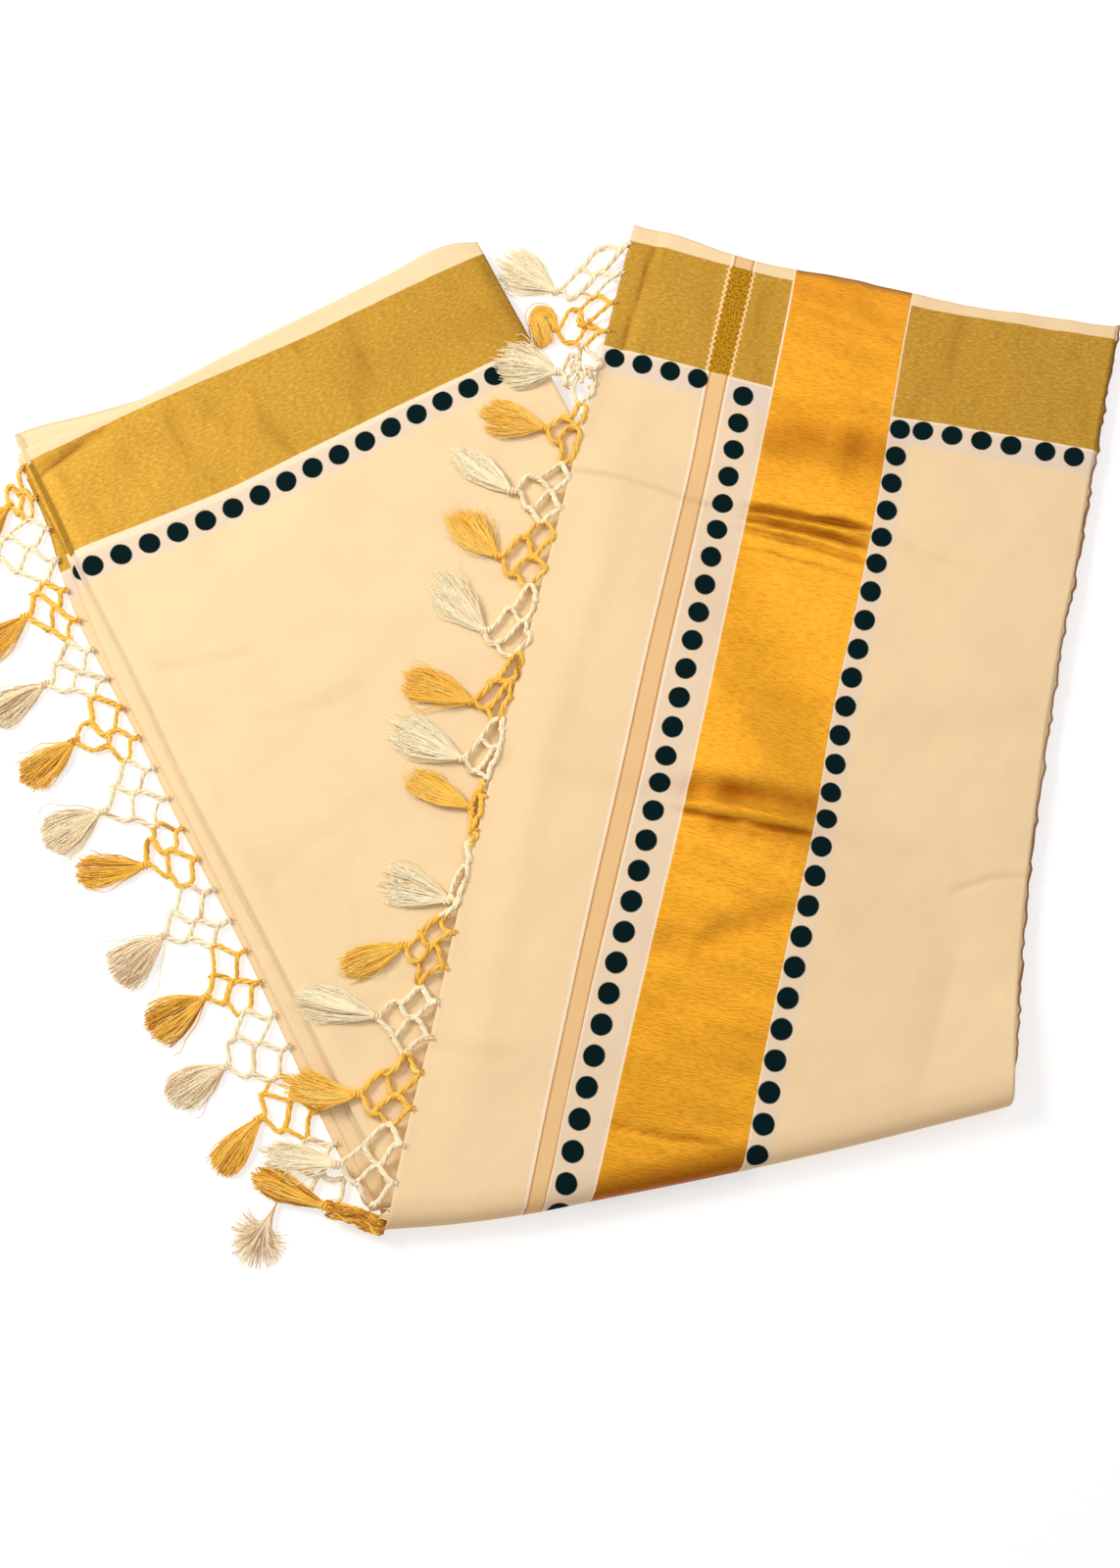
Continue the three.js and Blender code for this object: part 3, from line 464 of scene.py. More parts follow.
def grid_faces(shape, start=0, flipped=False):
    index = np.arange(shape[0] * shape[1]).reshape(shape) + start
    quads = np.stack([index[:-1, :-1], index[:-1, 1:], index[1:, 1:], index[1:, :-1]], axis=-1)
    quads = quads.reshape(-1, 4)
    return quads[:, ::-1] if flipped else quads


def grid_border(shape):
    """The border of a grid, counter-clockwise from above."""
    index = np.arange(shape[0] * shape[1]).reshape(shape)
    return np.concatenate([index[0, :-1], index[:-1, -1], index[-1, :0:-1], index[:0:-1, 0]])


def wall_faces(lower, upper):
    return np.stack([lower, np.roll(lower, -1), np.roll(upper, -1), upper], axis=-1)


def cloth_sheet(name, upper, lower, material, maps, shade=None):
    """A thin sheet of cloth between two grids of points."""
    shape = upper.shape[:2]
    count = shape[0] * shape[1]
    border = grid_border(shape)
    faces = [grid_faces(shape), grid_faces(shape, count, True), wall_faces(border + count, border)]
    points = np.concatenate([upper.reshape(-1, 3), lower.reshape(-1, 3)])
    doubled = {label: np.concatenate([m.reshape(-1, 2)] * 2) for label, m in maps.items()}
    shade = np.zeros(count) if shade is None else shade.ravel()
    return new_mesh(name, points, faces, material, doubled, values={"shade": np.tile(shade, 2)})


def shares(count, edge=None):
    """Evenly spaced shares from 0 to 1, closer together at the edges if edge is given."""
    even = np.linspace(0, 1, count)
    return even if edge is None else mix(even, 0.5 - 0.5 * np.cos(np.pi * even), edge)


def crowded(count, crowds):
    """Shares from 0 to 1 that lie closer together round each crowd: its centre, spread and strength."""
    fine = np.linspace(0, 1, 2000)
    density = np.ones_like(fine)
    for centre, spread, strength in crowds:
        density += strength * np.exp(-((fine - centre) / spread) ** 2)
    total = np.concatenate([[0], np.cumsum((density[1:] + density[:-1]) / 2)])
    return np.interp(np.linspace(0, total[-1], count), total, fine)


def cloth_waves(across, along, seed):
    """The slight unevenness of cloth that lies loosely."""
    waves = smooth_noise(across + 0.35 * along, seed, 170, 0.42)
    waves += smooth_noise(along - 0.3 * across, seed + 1, 120, 0.5)
    waves += smooth_noise(across * 0.8 + along, seed + 2, 61, 0.16)
    return waves + smooth_noise(along * 0.5 - across, seed + 3, 53, 0.14)


def right_relief(across, along, left, above):
    """The height of the right leg's creases, that of its waves, and the painted shade in them. The cloth
    lies calm at the bend and at its left edge."""
    folds, shade = creased(RIGHT_CREASES, across, along)
    calm = ramp(above, 4, 40) * ramp(across - left, 0, 10)
    return folds * ramp(above, 0, 22), cloth_waves(across, along, 7) * calm, shade


def right_leg_cloth(material):
    """The pallu stretch on top of the right leg, and round the bend to the surface."""
    u, w = np.meshgrid(shares(112, 0.35), crowded(250, RIGHT_CROWDS))
    v = level_rows(u, w)
    across, along, left, above = right_place(u, v)
    folds, waves, shade = right_relief(across, along, left, above)
    gold = ramp(across, 108, 118) * (1 - ramp(across, 186, 196))
    frill = smooth_noise(across, 44, 60, 0.5) * ramp(v, 0.93, 1)
    relief = folds + waves + gold * smooth_noise(along + 0.12 * across, 31, 26, 0.22) + frill
    far = curve(RIGHT_ENDS, "far", u)
    slope = FOLD_SLOPE
    outward = np.append(RIGHT["across"] * slope["across"] + RIGHT["along"] * slope["along"], 0)
    # The cloth's side edges run on at a slant round the bend
    axis = np.append(RIGHT["along"] * slope["across"] - RIGHT["across"] * slope["along"], 0)
    slanting = -slope["across"] / slope["along"] * (ramp(u[0], 0.2, 0) + 0.5 * ramp(u[0], 0.8, 1))[:, None]
    sides = []
    for depth in (0, CLOTH):
        leg = leg_point(RIGHT, across, along, right_top(across, along, left, above) + relief - depth)
        radius = FOLD_RADIUS - depth
        bend = []
        for step in range(BEND_STEPS):
            turn = math.pi * step / BEND_STEPS
            ring = leg[0] + outward * radius * math.sin(turn)
            ring[:, 2] = FOLD_RADIUS - radius * math.cos(turn)
            bend.append(ring - axis * slanting * radius * min(math.pi - turn, math.pi / 2))
        sides.append(np.concatenate([np.array(bend), leg]))
    # Where each point lies on the unrolled cloth
    run = FOLD_RADIUS * math.pi * (1 - np.arange(BEND_STEPS)[:, None] / BEND_STEPS)
    across = np.concatenate([across[:1] + slope["across"] * run, across])
    along = np.concatenate([along[:1] + slope["along"] * run, along])
    far = np.concatenate([np.repeat(far[:1], BEND_STEPS, axis=0), far])
    maps = {"bands": pallu_bands(across, along), "border": right_border(across, along, far)}
    # Painted shade round the bend, where the cloth turns down, and on the top just above it
    bend_shade = np.repeat(0.6 + 0.4 * ramp(run, 0, FOLD_RADIUS * 0.8), u.shape[1], axis=1)
    shade = np.concatenate([bend_shade, np.maximum(shade, 0.6 * ramp(above, 9, 0))])
    return cloth_sheet("pallu_cloth_right_leg", *sides, material, maps, shade)


def left_leg_cloth(material):
    u, v = np.meshgrid(shares(96, 0.4), crowded(165, LEFT_CROWDS))
    across, along, left = left_place(u, v, LEFT_ENDS)
    relief, shade = creased(LEFT_CREASES, across, along)
    relief = relief + cloth_waves(across, along, 19) * ramp(across - left, 0, 14)
    border = left_border(across, along, curve(LEFT_ENDS, "far", u))
    top = left_top(across, left) + relief
    sides = [leg_point(LEFT, across, along, top - depth) for depth in (0, CLOTH)]
    return cloth_sheet("body_cloth_left_leg", *sides, material, {"border": border}, shade)


def under_cloth(name, edge, low, far, shift, material):
    """A layer under the left leg, which shows as a strip along its left edge."""
    u, v = np.meshgrid(mix(shares(34), shares(34) ** 3, 0.7), shares(110))
    along = v * far
    across = mix(curve(edge, "across", along), STRIP_WIDTH, u)
    along = mix(left_fold_line(across), far, v)
    left = curve(edge, "across", along)
    across = mix(left, STRIP_WIDTH, u)
    rise = smooth_noise(along, int(low * 10) + 3, 90, 0.18) * (1 - ramp(u, 0, 0.05)) + 0.18
    upper = leg_point(LEFT, across, along, low + CLOTH + rise)
    lower = leg_point(LEFT, across, along, low + rise if low > 0 else 0)
    border = left_border(across, along + shift, far + shift + 0 * across)
    maps = {"border": border, "bands": np.stack([across - left, border[..., 1]], axis=-1)}
    return cloth_sheet(name, upper, lower, material, maps)


def normalized(vectors):
    return vectors / np.maximum(np.linalg.norm(vectors, axis=-1, keepdims=True), 1e-9)


def inward(ring):
    """Unit vectors that point into a ring of points, level."""
    tangent = np.roll(ring, -1, axis=0) - np.roll(ring, 1, axis=0)
    return normalized(np.stack([-tangent[:, 1], tangent[:, 0], 0 * tangent[:, 0]], axis=-1))


# A layer's edge: groove depth, and its share at each level of the layer, which also sets painted shade
GROOVE = 1.3
LEDGE = ((0.06, 1.0), (0.3, 0.12), (0.7, 0.0), (0.94, 1.0))


def layered_stack(name, upper, lower, inset_at, edge_shadow, material, border_map, seed):
    """A block of folded layers: each layer's edge is a rounded ledge with a groove below and above it."""
    shape = upper.shape[:2]
    count = shape[0] * shape[1]
    border = grid_border(shape)
    top_ring = upper.reshape(-1, 3)[border]
    low_ring = lower.reshape(-1, 3)[border]
    normal = inward(top_ring)
    run = along_path(top_ring)
    rings, groove_shade = [], []
    for layer in range(LAYERS_IN_STACK):
        offset = smooth_noise(run, seed + layer, 230, 0.7) + smooth_noise(run, seed + 50 + layer, 60, 0.25)
        for level, depth in LEDGE:
            share = (layer + level) / LAYERS_IN_STACK
            ring = mix(low_ring, top_ring, share)
            inset = inset_at(share).ravel()[border] + offset + GROOVE * depth
            rings.append(ring + normal * inset[:, None])
            # Painted shade in the groove, as strong as the groove is deep
            groove_shade.append(np.full(len(border), 0.7 * depth))
    upper = upper.copy().reshape(-1, 3)
    lower = lower.copy().reshape(-1, 3)
    upper[border] = rings[-1] + [0, 0, 0.1]
    lower[border] = rings[0] - [0, 0, 0.1]
    points = np.concatenate([upper, lower, *rings])
    levels = [border + count]
    levels += [np.arange(len(border)) + 2 * count + k * len(border) for k in range(len(rings))]
    levels.append(border)
    faces = [grid_faces(shape), grid_faces(shape, count, True)]
    faces += [wall_faces(low, high) for low, high in zip(levels, levels[1:])]
    flat_map = border_map.reshape(-1, 2)
    maps = {"border": np.concatenate([flat_map, flat_map, *([flat_map[border]] * len(rings))])}
    # Painted shadow along the layer edges that stick out
    painted_shadow = np.tile(edge_shadow.ravel()[border], len(rings))
    values = {"shade": np.concatenate([np.zeros(2 * count), *groove_shade]),
              "painted_shadow": np.concatenate([np.zeros(2 * count), painted_shadow])}
    return new_mesh(name, points, faces, material, maps, values=values)


def left_stack(material):
    u, v = np.meshgrid(shares(56, 0.3), shares(96, 0.1))
    across, along, left = left_place(u, v, LEFT_INNER_ENDS)
    relief = creased(LEFT_CREASES, across, along)[0] * ramp(across - left, 4, 16)
    relief += cloth_waves(across, along, 19) * ramp(across - left, 0, 14)
    top = left_top(across, left) + np.minimum(relief, 0.3) - CLOTH - 0.8
    sides = [leg_point(LEFT, across, along, height) for height in (top, 2.9)]
    border = left_border(across, along, curve(LEFT_INNER_ENDS, "far", u))

    def inset_at(share):
        left_side = 0.6 - 4.2 * (1 - share) ** 1.3
        fold = np.where(v < 0.01, 1.5, 0)
        return np.where(u < 0.001, left_side, np.where(u > 0.999, 0.6, 0.4)) + fold

    return layered_stack("stack_left_leg", *sides, inset_at, 0 * u, material, border, 100)


def right_stack(material):
    u, v = np.meshgrid(shares(64, 0.3), shares(120, 0.1))
    across, along, left, above = right_place(u, v)
    folds, waves, _ = right_relief(across, along, left, above)
    top = right_top(across, along, left, above) - CLOTH - 1
    upper = leg_point(RIGHT, across, along, top + np.minimum(folds, 0.2) + np.minimum(waves, 0.2))
    place = upper[..., :2] - FOLD_CORNER
    across_left, along_left = place @ LEFT["across"], place @ LEFT["along"]
    over = (across_left < STRIP_WIDTH + 3) & (across_left > -14) & (along_left < LEFT_LENGTH + 8)
    over &= along_left > left_fold_line(across_left) - 3
    lower = leg_point(RIGHT, across, along, np.where(over, STACK + 0.5, 0.25))
    border = right_border(across, along, curve(RIGHT_ENDS, "far", u))
    jagged = 1.2 * np.abs(smooth_noise(along, 71, 19, 1.6)) + 1.7

    def inset_at(share):
        right_side = mix(-jagged * ramp(share, 0.5, 0.8), 3, ramp(v, 0.05, 0))
        sides = np.where(u < 0.001, 2.6, np.where(u > 0.999, right_side, 0.6))
        height = mix(0.9, 2 * STACK - 1.2, share) - FOLD_RADIUS
        nose = -math.sqrt(max(0, (FOLD_RADIUS - 1.6) ** 2 - height ** 2)) + 0.8
        return np.where(v < 0.001, mix(nose, 3, ramp(u, 0.95, 1)), sides)

    # Painted shadow: the lower layers that stick out at the right edge are brown for the shade under the top
    edge_shadow = np.where(u > 0.999, 0.9, 0)
    return layered_stack("stack_right_leg", upper, lower, inset_at, edge_shadow, material, border, 200)


# Fringe frames, as on the solids

def rim(distance):
    """A point just clear of the cloth's edge, by the distance from the left leg's far end."""
    if distance < LEFT_LENGTH:
        along = LEFT_LENGTH - distance
        across = look_up(UNDER_EDGE, "across", along) - RIM_CLEARANCE
        point = leg_point(LEFT, across, along, GAP)
        return {"point": point, "leg": LEFT, "way": -1, "outward": -across}
    along = distance - LEFT_LENGTH
    edge = look_up(RIGHT_SIDES, "left", along / RIGHT_ENDS["far"][0])
    height = right_top(edge, along, edge, along - FOLD_RADIUS) - 1.9
    point = leg_point(RIGHT, edge - RIM_CLEARANCE, along, height)
    return {"point": point, "leg": RIGHT, "way": 1, "outward": RIM_CLEARANCE - edge}


def unit_frame(unit):
    if unit == CORNER_UNIT:
        turn = math.radians(CORNER_HEADING)
        outward = np.array([math.cos(turn), math.sin(turn), 0])
        onward = np.array([outward[1], -outward[0], 0])
        point = leg_point(RIGHT, 0, 0, CORNER_HEIGHT) + outward * CORNER_CLEARANCE
        return {"point": point, "outward": CORNER_CLEARANCE}, outward, onward
    middle = rim((unit + 0.5) * UNIT)
    outward = np.append(-middle["leg"]["across"], 0)
    return middle, outward, np.append(middle["leg"]["along"], 0) * middle["way"]


def unit_point(unit, side, depth):
    tuck, out, drift = (FRINGE[name][unit] for name in ("tuck", "out", "drift"))
    reach = max(0.0, (depth - tuck) / (NET_DEPTH - tuck))
    middle, outward, onward = unit_frame(unit)
    if unit == CORNER_UNIT:
        root = middle["point"] + onward * side * UNIT * CORNER_SQUEEZE
    else:
        root = rim((unit + 0.5 + side) * UNIT)["point"]
    point = root + outward * reach * (out - middle["outward"]) + onward * reach * drift
    point[2] = mix(root[2], FRINGE["lie"][unit] + GAP, ramp(reach, 0, SETTLED))
    return point


def net_point(unit, side, depth):
    """A point under one unit's net, blended into the next unit towards their common knot."""
    point = unit_point(unit, side, depth)
    way = 1 if side > 0 else -1
    beside = unit + way
    if not 0 <= beside < UNITS or unit + beside == 2 * CORNER_UNIT - 1 or side == 0:
        return point
    share = ramp(abs(side), BLEND["from"], BLEND["to"])
    return mix(point, unit_point(beside, side - way, depth), share)


# Threads

def tubes(paths, radii, sides, flat=1.0):
    """Thin tubes along many paths at once: points, side faces and caps. paths is (count, steps, 3)."""
    count, steps, _ = paths.shape
    tangent = normalized(np.gradient(paths, axis=1))
    upright = np.where(np.abs(tangent[..., 2:3]) > 0.9, [1.0, 0, 0], [0, 0, 1.0])
    level = normalized(np.cross(tangent, upright))
    upright = np.cross(level, tangent) * flat
    turn = 2 * np.pi * np.arange(sides) / sides + np.pi / 2
    ring = np.cos(turn)[:, None] * level[:, :, None, :] + np.sin(turn)[:, None] * upright[:, :, None, :]
    points = paths[:, :, None, :] + ring * radii[..., None, None]
    index = np.arange(count * steps * sides).reshape(count, steps, sides)
    after = np.roll(index, -1, axis=2)
    quads = np.stack([index[:, :-1], after[:, :-1], after[:, 1:], index[:, 1:]], axis=-1)
    caps = np.concatenate([index[:, 0, ::-1], index[:, -1]])
    return points.reshape(-1, 3), quads.reshape(-1, 4), caps


class Threads:
    """Collects the tubes and knots of one fringe unit into one mesh."""

    def __init__(self):
        self.points, self.faces, self.tones, self.smooth, self.count = [], [], [], [], 0

    def add_tubes(self, paths, radii, sides, tones, flat=1.0, smooth=True):
        points, quads, caps = tubes(paths, radii, sides, flat)
        self.points.append(points)
        self.faces += [quads + self.count, caps + self.count]
        self.smooth += [smooth, False]
        self.tones.append(np.repeat(tones, paths.shape[1] * sides))
        self.count += len(points)

    def piece(self, name, material):
        smooth = np.concatenate([np.full(len(f), flag) for f, flag in zip(self.faces, self.smooth)])
        tones = np.concatenate(self.tones)
        points = np.concatenate(self.points)
        return new_mesh(name, points, self.faces, material, smooth=smooth, values={"tone": tones})


def along_path(path):
    return np.concatenate([[0], np.cumsum(np.linalg.norm(np.diff(path, axis=0), axis=1))])


def arc(first, middle, last, share):
    """A smooth way from the first value to the last one, drawn towards the middle one."""
    return mix(mix(first, middle, share), mix(middle, last, share), share)


def path_frame(path):
    tangent = normalized(np.gradient(path, axis=0))
    level = normalized(np.cross(tangent, [0, 0, 1.0]))
    return level, np.cross(level, tangent)


def twisted(path, offset, pitch, phase):
    """The plies of a twisted cord round a path."""
    level, upright = path_frame(path)
    made = []
    for ply in range(CORD_PLIES):
        turn = 2 * np.pi * (along_path(path) / pitch + ply / CORD_PLIES) + phase
        made.append(path + offset * (np.cos(turn)[:, None] * level + np.sin(turn)[:, None] * upright))
    return np.array(made)


def wound(start, end, turns, radius, steps):
    """A cord wound round the line between two points."""
    share = np.linspace(0, 1, steps)
    path = mix(start, end, share[:, None])
    level, upright = path_frame(path)
    turn = 2 * np.pi * turns * share
    bulge = radius * (0.75 + 0.25 * np.sin(np.pi * share))[:, None]
    return path + bulge * (np.cos(turn)[:, None] * level + 0.8 * np.sin(turn)[:, None] * upright)


def shifted(unit, side, depth):
    """A knot's side and depth, moved a little so that the net is uneven: alike for both its units."""
    if depth in (0, NET_DEPTH):
        return side, depth
    place = (unit + side) * 4 + depth
    return side + 0.05 * math.sin(place * 5.1), depth + 2.2 * math.sin(place * 3.3 + 1)


def add_cord(threads, path, random, thick=1.0, tone=0.5):
    path = path + random.normal(size=3) * [0, 0, 0.2]
    plies = twisted(path, PLY_OFFSET * thick, TWIST_PITCH * random.uniform(0.7, 1.4), random.random() * 6.28)
    slim = 1.06 - 0.16 * np.sin(np.pi * np.linspace(0, 1, len(path)))
    radii = np.full((CORD_PLIES, len(path)), PLY_RADIUS * thick) * slim
    threads.add_tubes(plies, radii, 5, tone + 0.18 * random.normal(size=CORD_PLIES))


def net_threads(unit, threads, random):
    tuck = FRINGE["tuck"][unit]
    places = {"root_a": (-0.25, 0), "root_b": (0.25, 0), "before": (-0.5, FIRST_ROW),
              "middle": (0, FIRST_ROW), "after": (0.5, FIRST_ROW), "inner_a": (-0.25, SECOND_ROW),
              "inner_b": (0.25, SECOND_ROW), "tip": (0, NET_DEPTH)}
    places = {name: shifted(unit, *spot) for name, spot in places.items()}
    cords = [("root_a", "middle"), ("root_b", "middle"), ("root_b", "after"), ("inner_b", "after"),
             ("middle", "inner_b"), ("middle", "inner_a"), ("inner_b", "tip"), ("inner_a", "tip"),
             ("inner_a", "before"), ("root_a", "before")]
    if unit == 0:
        cords = cords[:-2]
    if unit == CORNER_UNIT:
        cords, places = [], {"tip": places["tip"]}
    share = np.linspace(0, 1, CORD_STEPS)
    for first, last in cords:
        (side_a, depth_a), (side_b, depth_b) = places[first], places[last]
        if max(depth_a, depth_b) <= tuck:
            continue
        sides = mix(side_a, side_b, mix(share, ramp(share, 0.1, 0.9), 0.8))
        depths = np.maximum(mix(depth_a, depth_b, share), tuck)
        path = np.array([net_point(unit, side, depth) for side, depth in zip(sides, depths)])
        run = path[-1] - path[0]
        aside = normalized(np.array([-run[1], run[0], 0]))
        sway = random.normal() * 1.3 * np.sin(np.pi * share)
        sway += random.normal() * 0.6 * np.sin(2 * np.pi * share)
        path += aside * sway[:, None]
        path[:, 2] += 1.8 + 0.5 * np.sin(np.pi * share)
        add_cord(threads, path, random, random.uniform(0.8, 1.2))
    for name, (side, depth) in places.items():
        if depth < tuck + 2 and name[:4] != "root" or name == "before":
            continue
        size = {"tip": 1.5, "root_a": 0.85, "root_b": 0.85}.get(name, 1.1)
        lift = [0, 0, 1.6 + 0.9 * max(size - 1, 0)]
        centre = net_point(unit, side, max(depth, tuck)) + lift
        further = net_point(unit, side, max(depth, tuck) + 1) + lift
        way = normalized(further - centre)
        wrap = wound(centre - way * 2.2 * size, centre + way * 2.2 * size, 3.2, 1.35 * size, 24)
        threads.add_tubes(wrap[None], np.full((1, 24), 0.62 * size), 5, 0.4 + 0.1 * random.normal(size=1))
        if name[:4] == "root" and tuck == 0:
            add_frayed_end(threads, centre, -way, random)
    add_bunch(unit, threads, random)


def add_frayed_end(threads, centre, inward_way, random):
    """The short loose ends at a root, lying on the cloth's edge."""
    count, steps = 9, 5
    s = np.linspace(0, 1, steps)[None, :, None]
    sideways = np.array([-inward_way[1], inward_way[0], 0])
    spread = random.uniform(-1, 1, size=(count, 1, 1))
    length = random.uniform(2.2, 4.6, size=(count, 1, 1))
    paths = centre + inward_way * length * s * (1 - 0.5 * np.abs(spread)) + sideways * spread * 2.6 * s
    paths = paths + [0, 0, 0.5] + np.array([0, 0, 1.0]) * random.uniform(0, 1.2, size=(count, 1, 1)) * s
    threads.add_tubes(paths, np.full((count, steps), 0.3), 3, 0.45 + 0.2 * random.normal(size=count))


def add_bunch(unit, threads, random):
    """Loose cords that lie crumpled over one another in a few of the nets."""
    share = np.linspace(0, 1, 12)
    for k in range(BUNCHED.get(unit, 0)):
        sides = random.uniform(-0.26, 0.26, size=3)
        depths = random.uniform(4, 33, size=3)
        if unit == CORNER_UNIT:
            sides = random.uniform(-0.5, 0.5, size=3) * [0.6, 1, 0.5]
            depths = [0, random.uniform(8, 26), random.uniform(28, NET_DEPTH)]
        side, depth = arc(*sides, share), arc(*depths, share)
        path = np.array([net_point(unit, a, max(b, FRINGE["tuck"][unit])) for a, b in zip(side, depth)])
        path[:, 2] += 2 + random.uniform(0, 3.4) + 1.2 * np.sin(np.pi * share)
        wiggle = np.sin(2 * np.pi * (share[:, None] * random.uniform(1.5, 2.6) + random.random(3)))
        path += wiggle * [1.3, 1.3, 0.5]
        path[:, 2] = np.maximum(path[:, 2], 2)
        # The corner's bunch is darker in tone: painted shade for the gaps among its crumpled cords
        thick, tone = (0.52, 0.15) if unit == CORNER_UNIT else (0.9, 0.5)
        add_cord(threads, path, random, thick, tone)


def tassel_threads(unit, threads, random):
    """Fine strands that fan out from the last knot, gathered in locks."""
    length, fan, lean = (FRINGE[name][unit] for name in ("length", "fan", "lean"))
    tip = net_point(unit, 0, NET_DEPTH)
    _, outward, onward = unit_frame(unit)
    turn = math.radians(lean)
    forward = outward * math.cos(turn) + onward * math.sin(turn)
    sideways = np.array([-forward[1], forward[0], 0])
    lie = FRINGE["tip_lie"][unit] + 0.6
    lock_share = np.linspace(-1, 1, LOCKS) + random.normal(size=LOCKS) * 0.08
    lock_height = random.random(LOCKS)
    ragged, contrast, pale = RIGHT_TASSELS if unit > CORNER_UNIT else LEFT_TASSELS
    lock_reach = 1 + random.normal(size=LOCKS) * ragged
    lock_tone = random.normal(size=LOCKS) * 0.16 + pale
    lock = random.integers(0, LOCKS, STRANDS)
    share = lock_share[lock] + random.normal(size=STRANDS) * 0.12
    height = np.clip(lock_height[lock] + random.normal(size=STRANDS) * 0.25, 0, 1)
    reach = length * lock_reach[lock] * (1 - 0.12 * share ** 2)
    reach = reach * (1 + random.normal(size=STRANDS) * ragged)
    stray = random.random(STRANDS) < STRAYS
    share = np.where(stray, share * random.uniform(1.1, 1.6, STRANDS), share)
    curl, low, high = CURLS.get(unit, (0.08 * random.normal(), 0, 1))
    s = np.linspace(0, 1, STRAND_STEPS * 2 if curl > 1 else STRAND_STEPS)[None, :]
    share, height, reach, stray = (a[:, None] for a in (share, height, reach, stray))
    start = HEAD_RADIUS * 0.8
    ahead = start + (reach - start) * s
    spread = np.sin(np.pi / 2 * np.minimum(1, s * 1.06))
    aside = share * mix(1.6, fan * 0.53, spread)
    wave = random.random((STRANDS, 1))
    aside = aside + 0.75 * s * np.sin(2 * np.pi * (1.5 * s + wave)) * (1 + 2 * stray)
    # The tassel's middle line turns as it curls
    angle = curl * np.clip((ahead / reach - low) / (high - low), 0, 1)
    pace = np.gradient(ahead, axis=1)
    straight = start + np.cumsum(pace * np.cos(angle), axis=1) - pace[:, :1]
    beside = np.cumsum(pace * np.sin(angle), axis=1)
    straight, beside = straight - aside * np.sin(angle), beside + aside * np.cos(angle)
    if unit == TUFT:
        turn = random.uniform(-2.3, 2.3, size=(STRANDS, 1))
        far = TUFT_RADIUS * random.uniform(0.55, 1, size=(STRANDS, 1))
        middle = 0.6 * length + random.normal(size=(STRANDS, 1)) * 1.5
        straight = arc(start, middle, length - TUFT_RADIUS + far * np.cos(turn), s)
        beside = share * 2.5 * s * (1 - s) + far * np.sin(turn) * s * s
    neck = tip[2] + 1.9 + 1.6 * (height - 0.5)
    body = lie + height * mix(4.8, 2.2, s)
    rise = mix(neck, body, ramp(s, 0, 0.3))
    rise = rise + 0.3 * np.sin(2 * np.pi * (2.2 * s + wave * 3)) * s
    if curl > 1:
        rise = rise + 5 * np.sin(np.pi * s) * s
    paths = tip * [1, 1, 0] + straight[..., None] * forward + beside[..., None] * sideways
    paths[..., 2] += np.maximum(rise, lie)
    radii = STRAND_RADIUS * mix(1.2, 0.7, s) * np.ones_like(ahead)
    tones = 0.53 + lock_tone[lock] + contrast * random.normal(size=STRANDS)
    threads.add_tubes(paths, radii, 3, tones, flat=0.6, smooth=False)
    knot = tip + [0, 0, 1.8]
    wrap = wound(knot + forward * 0.8, knot + forward * HEAD_RADIUS * 1.25, 3.3, 1.95, 30)
    threads.add_tubes(wrap[None], np.full((1, 30), 0.62), 5, np.array([0.4]))


def fringe_unit(unit, material):
    random = np.random.default_rng(1000 + unit)
    threads = Threads()
    net_threads(unit, threads, random)
    tassel_threads(unit, threads, random)
    return threads.piece(f"fringe_{unit + 1:02d}", material)


# Materials

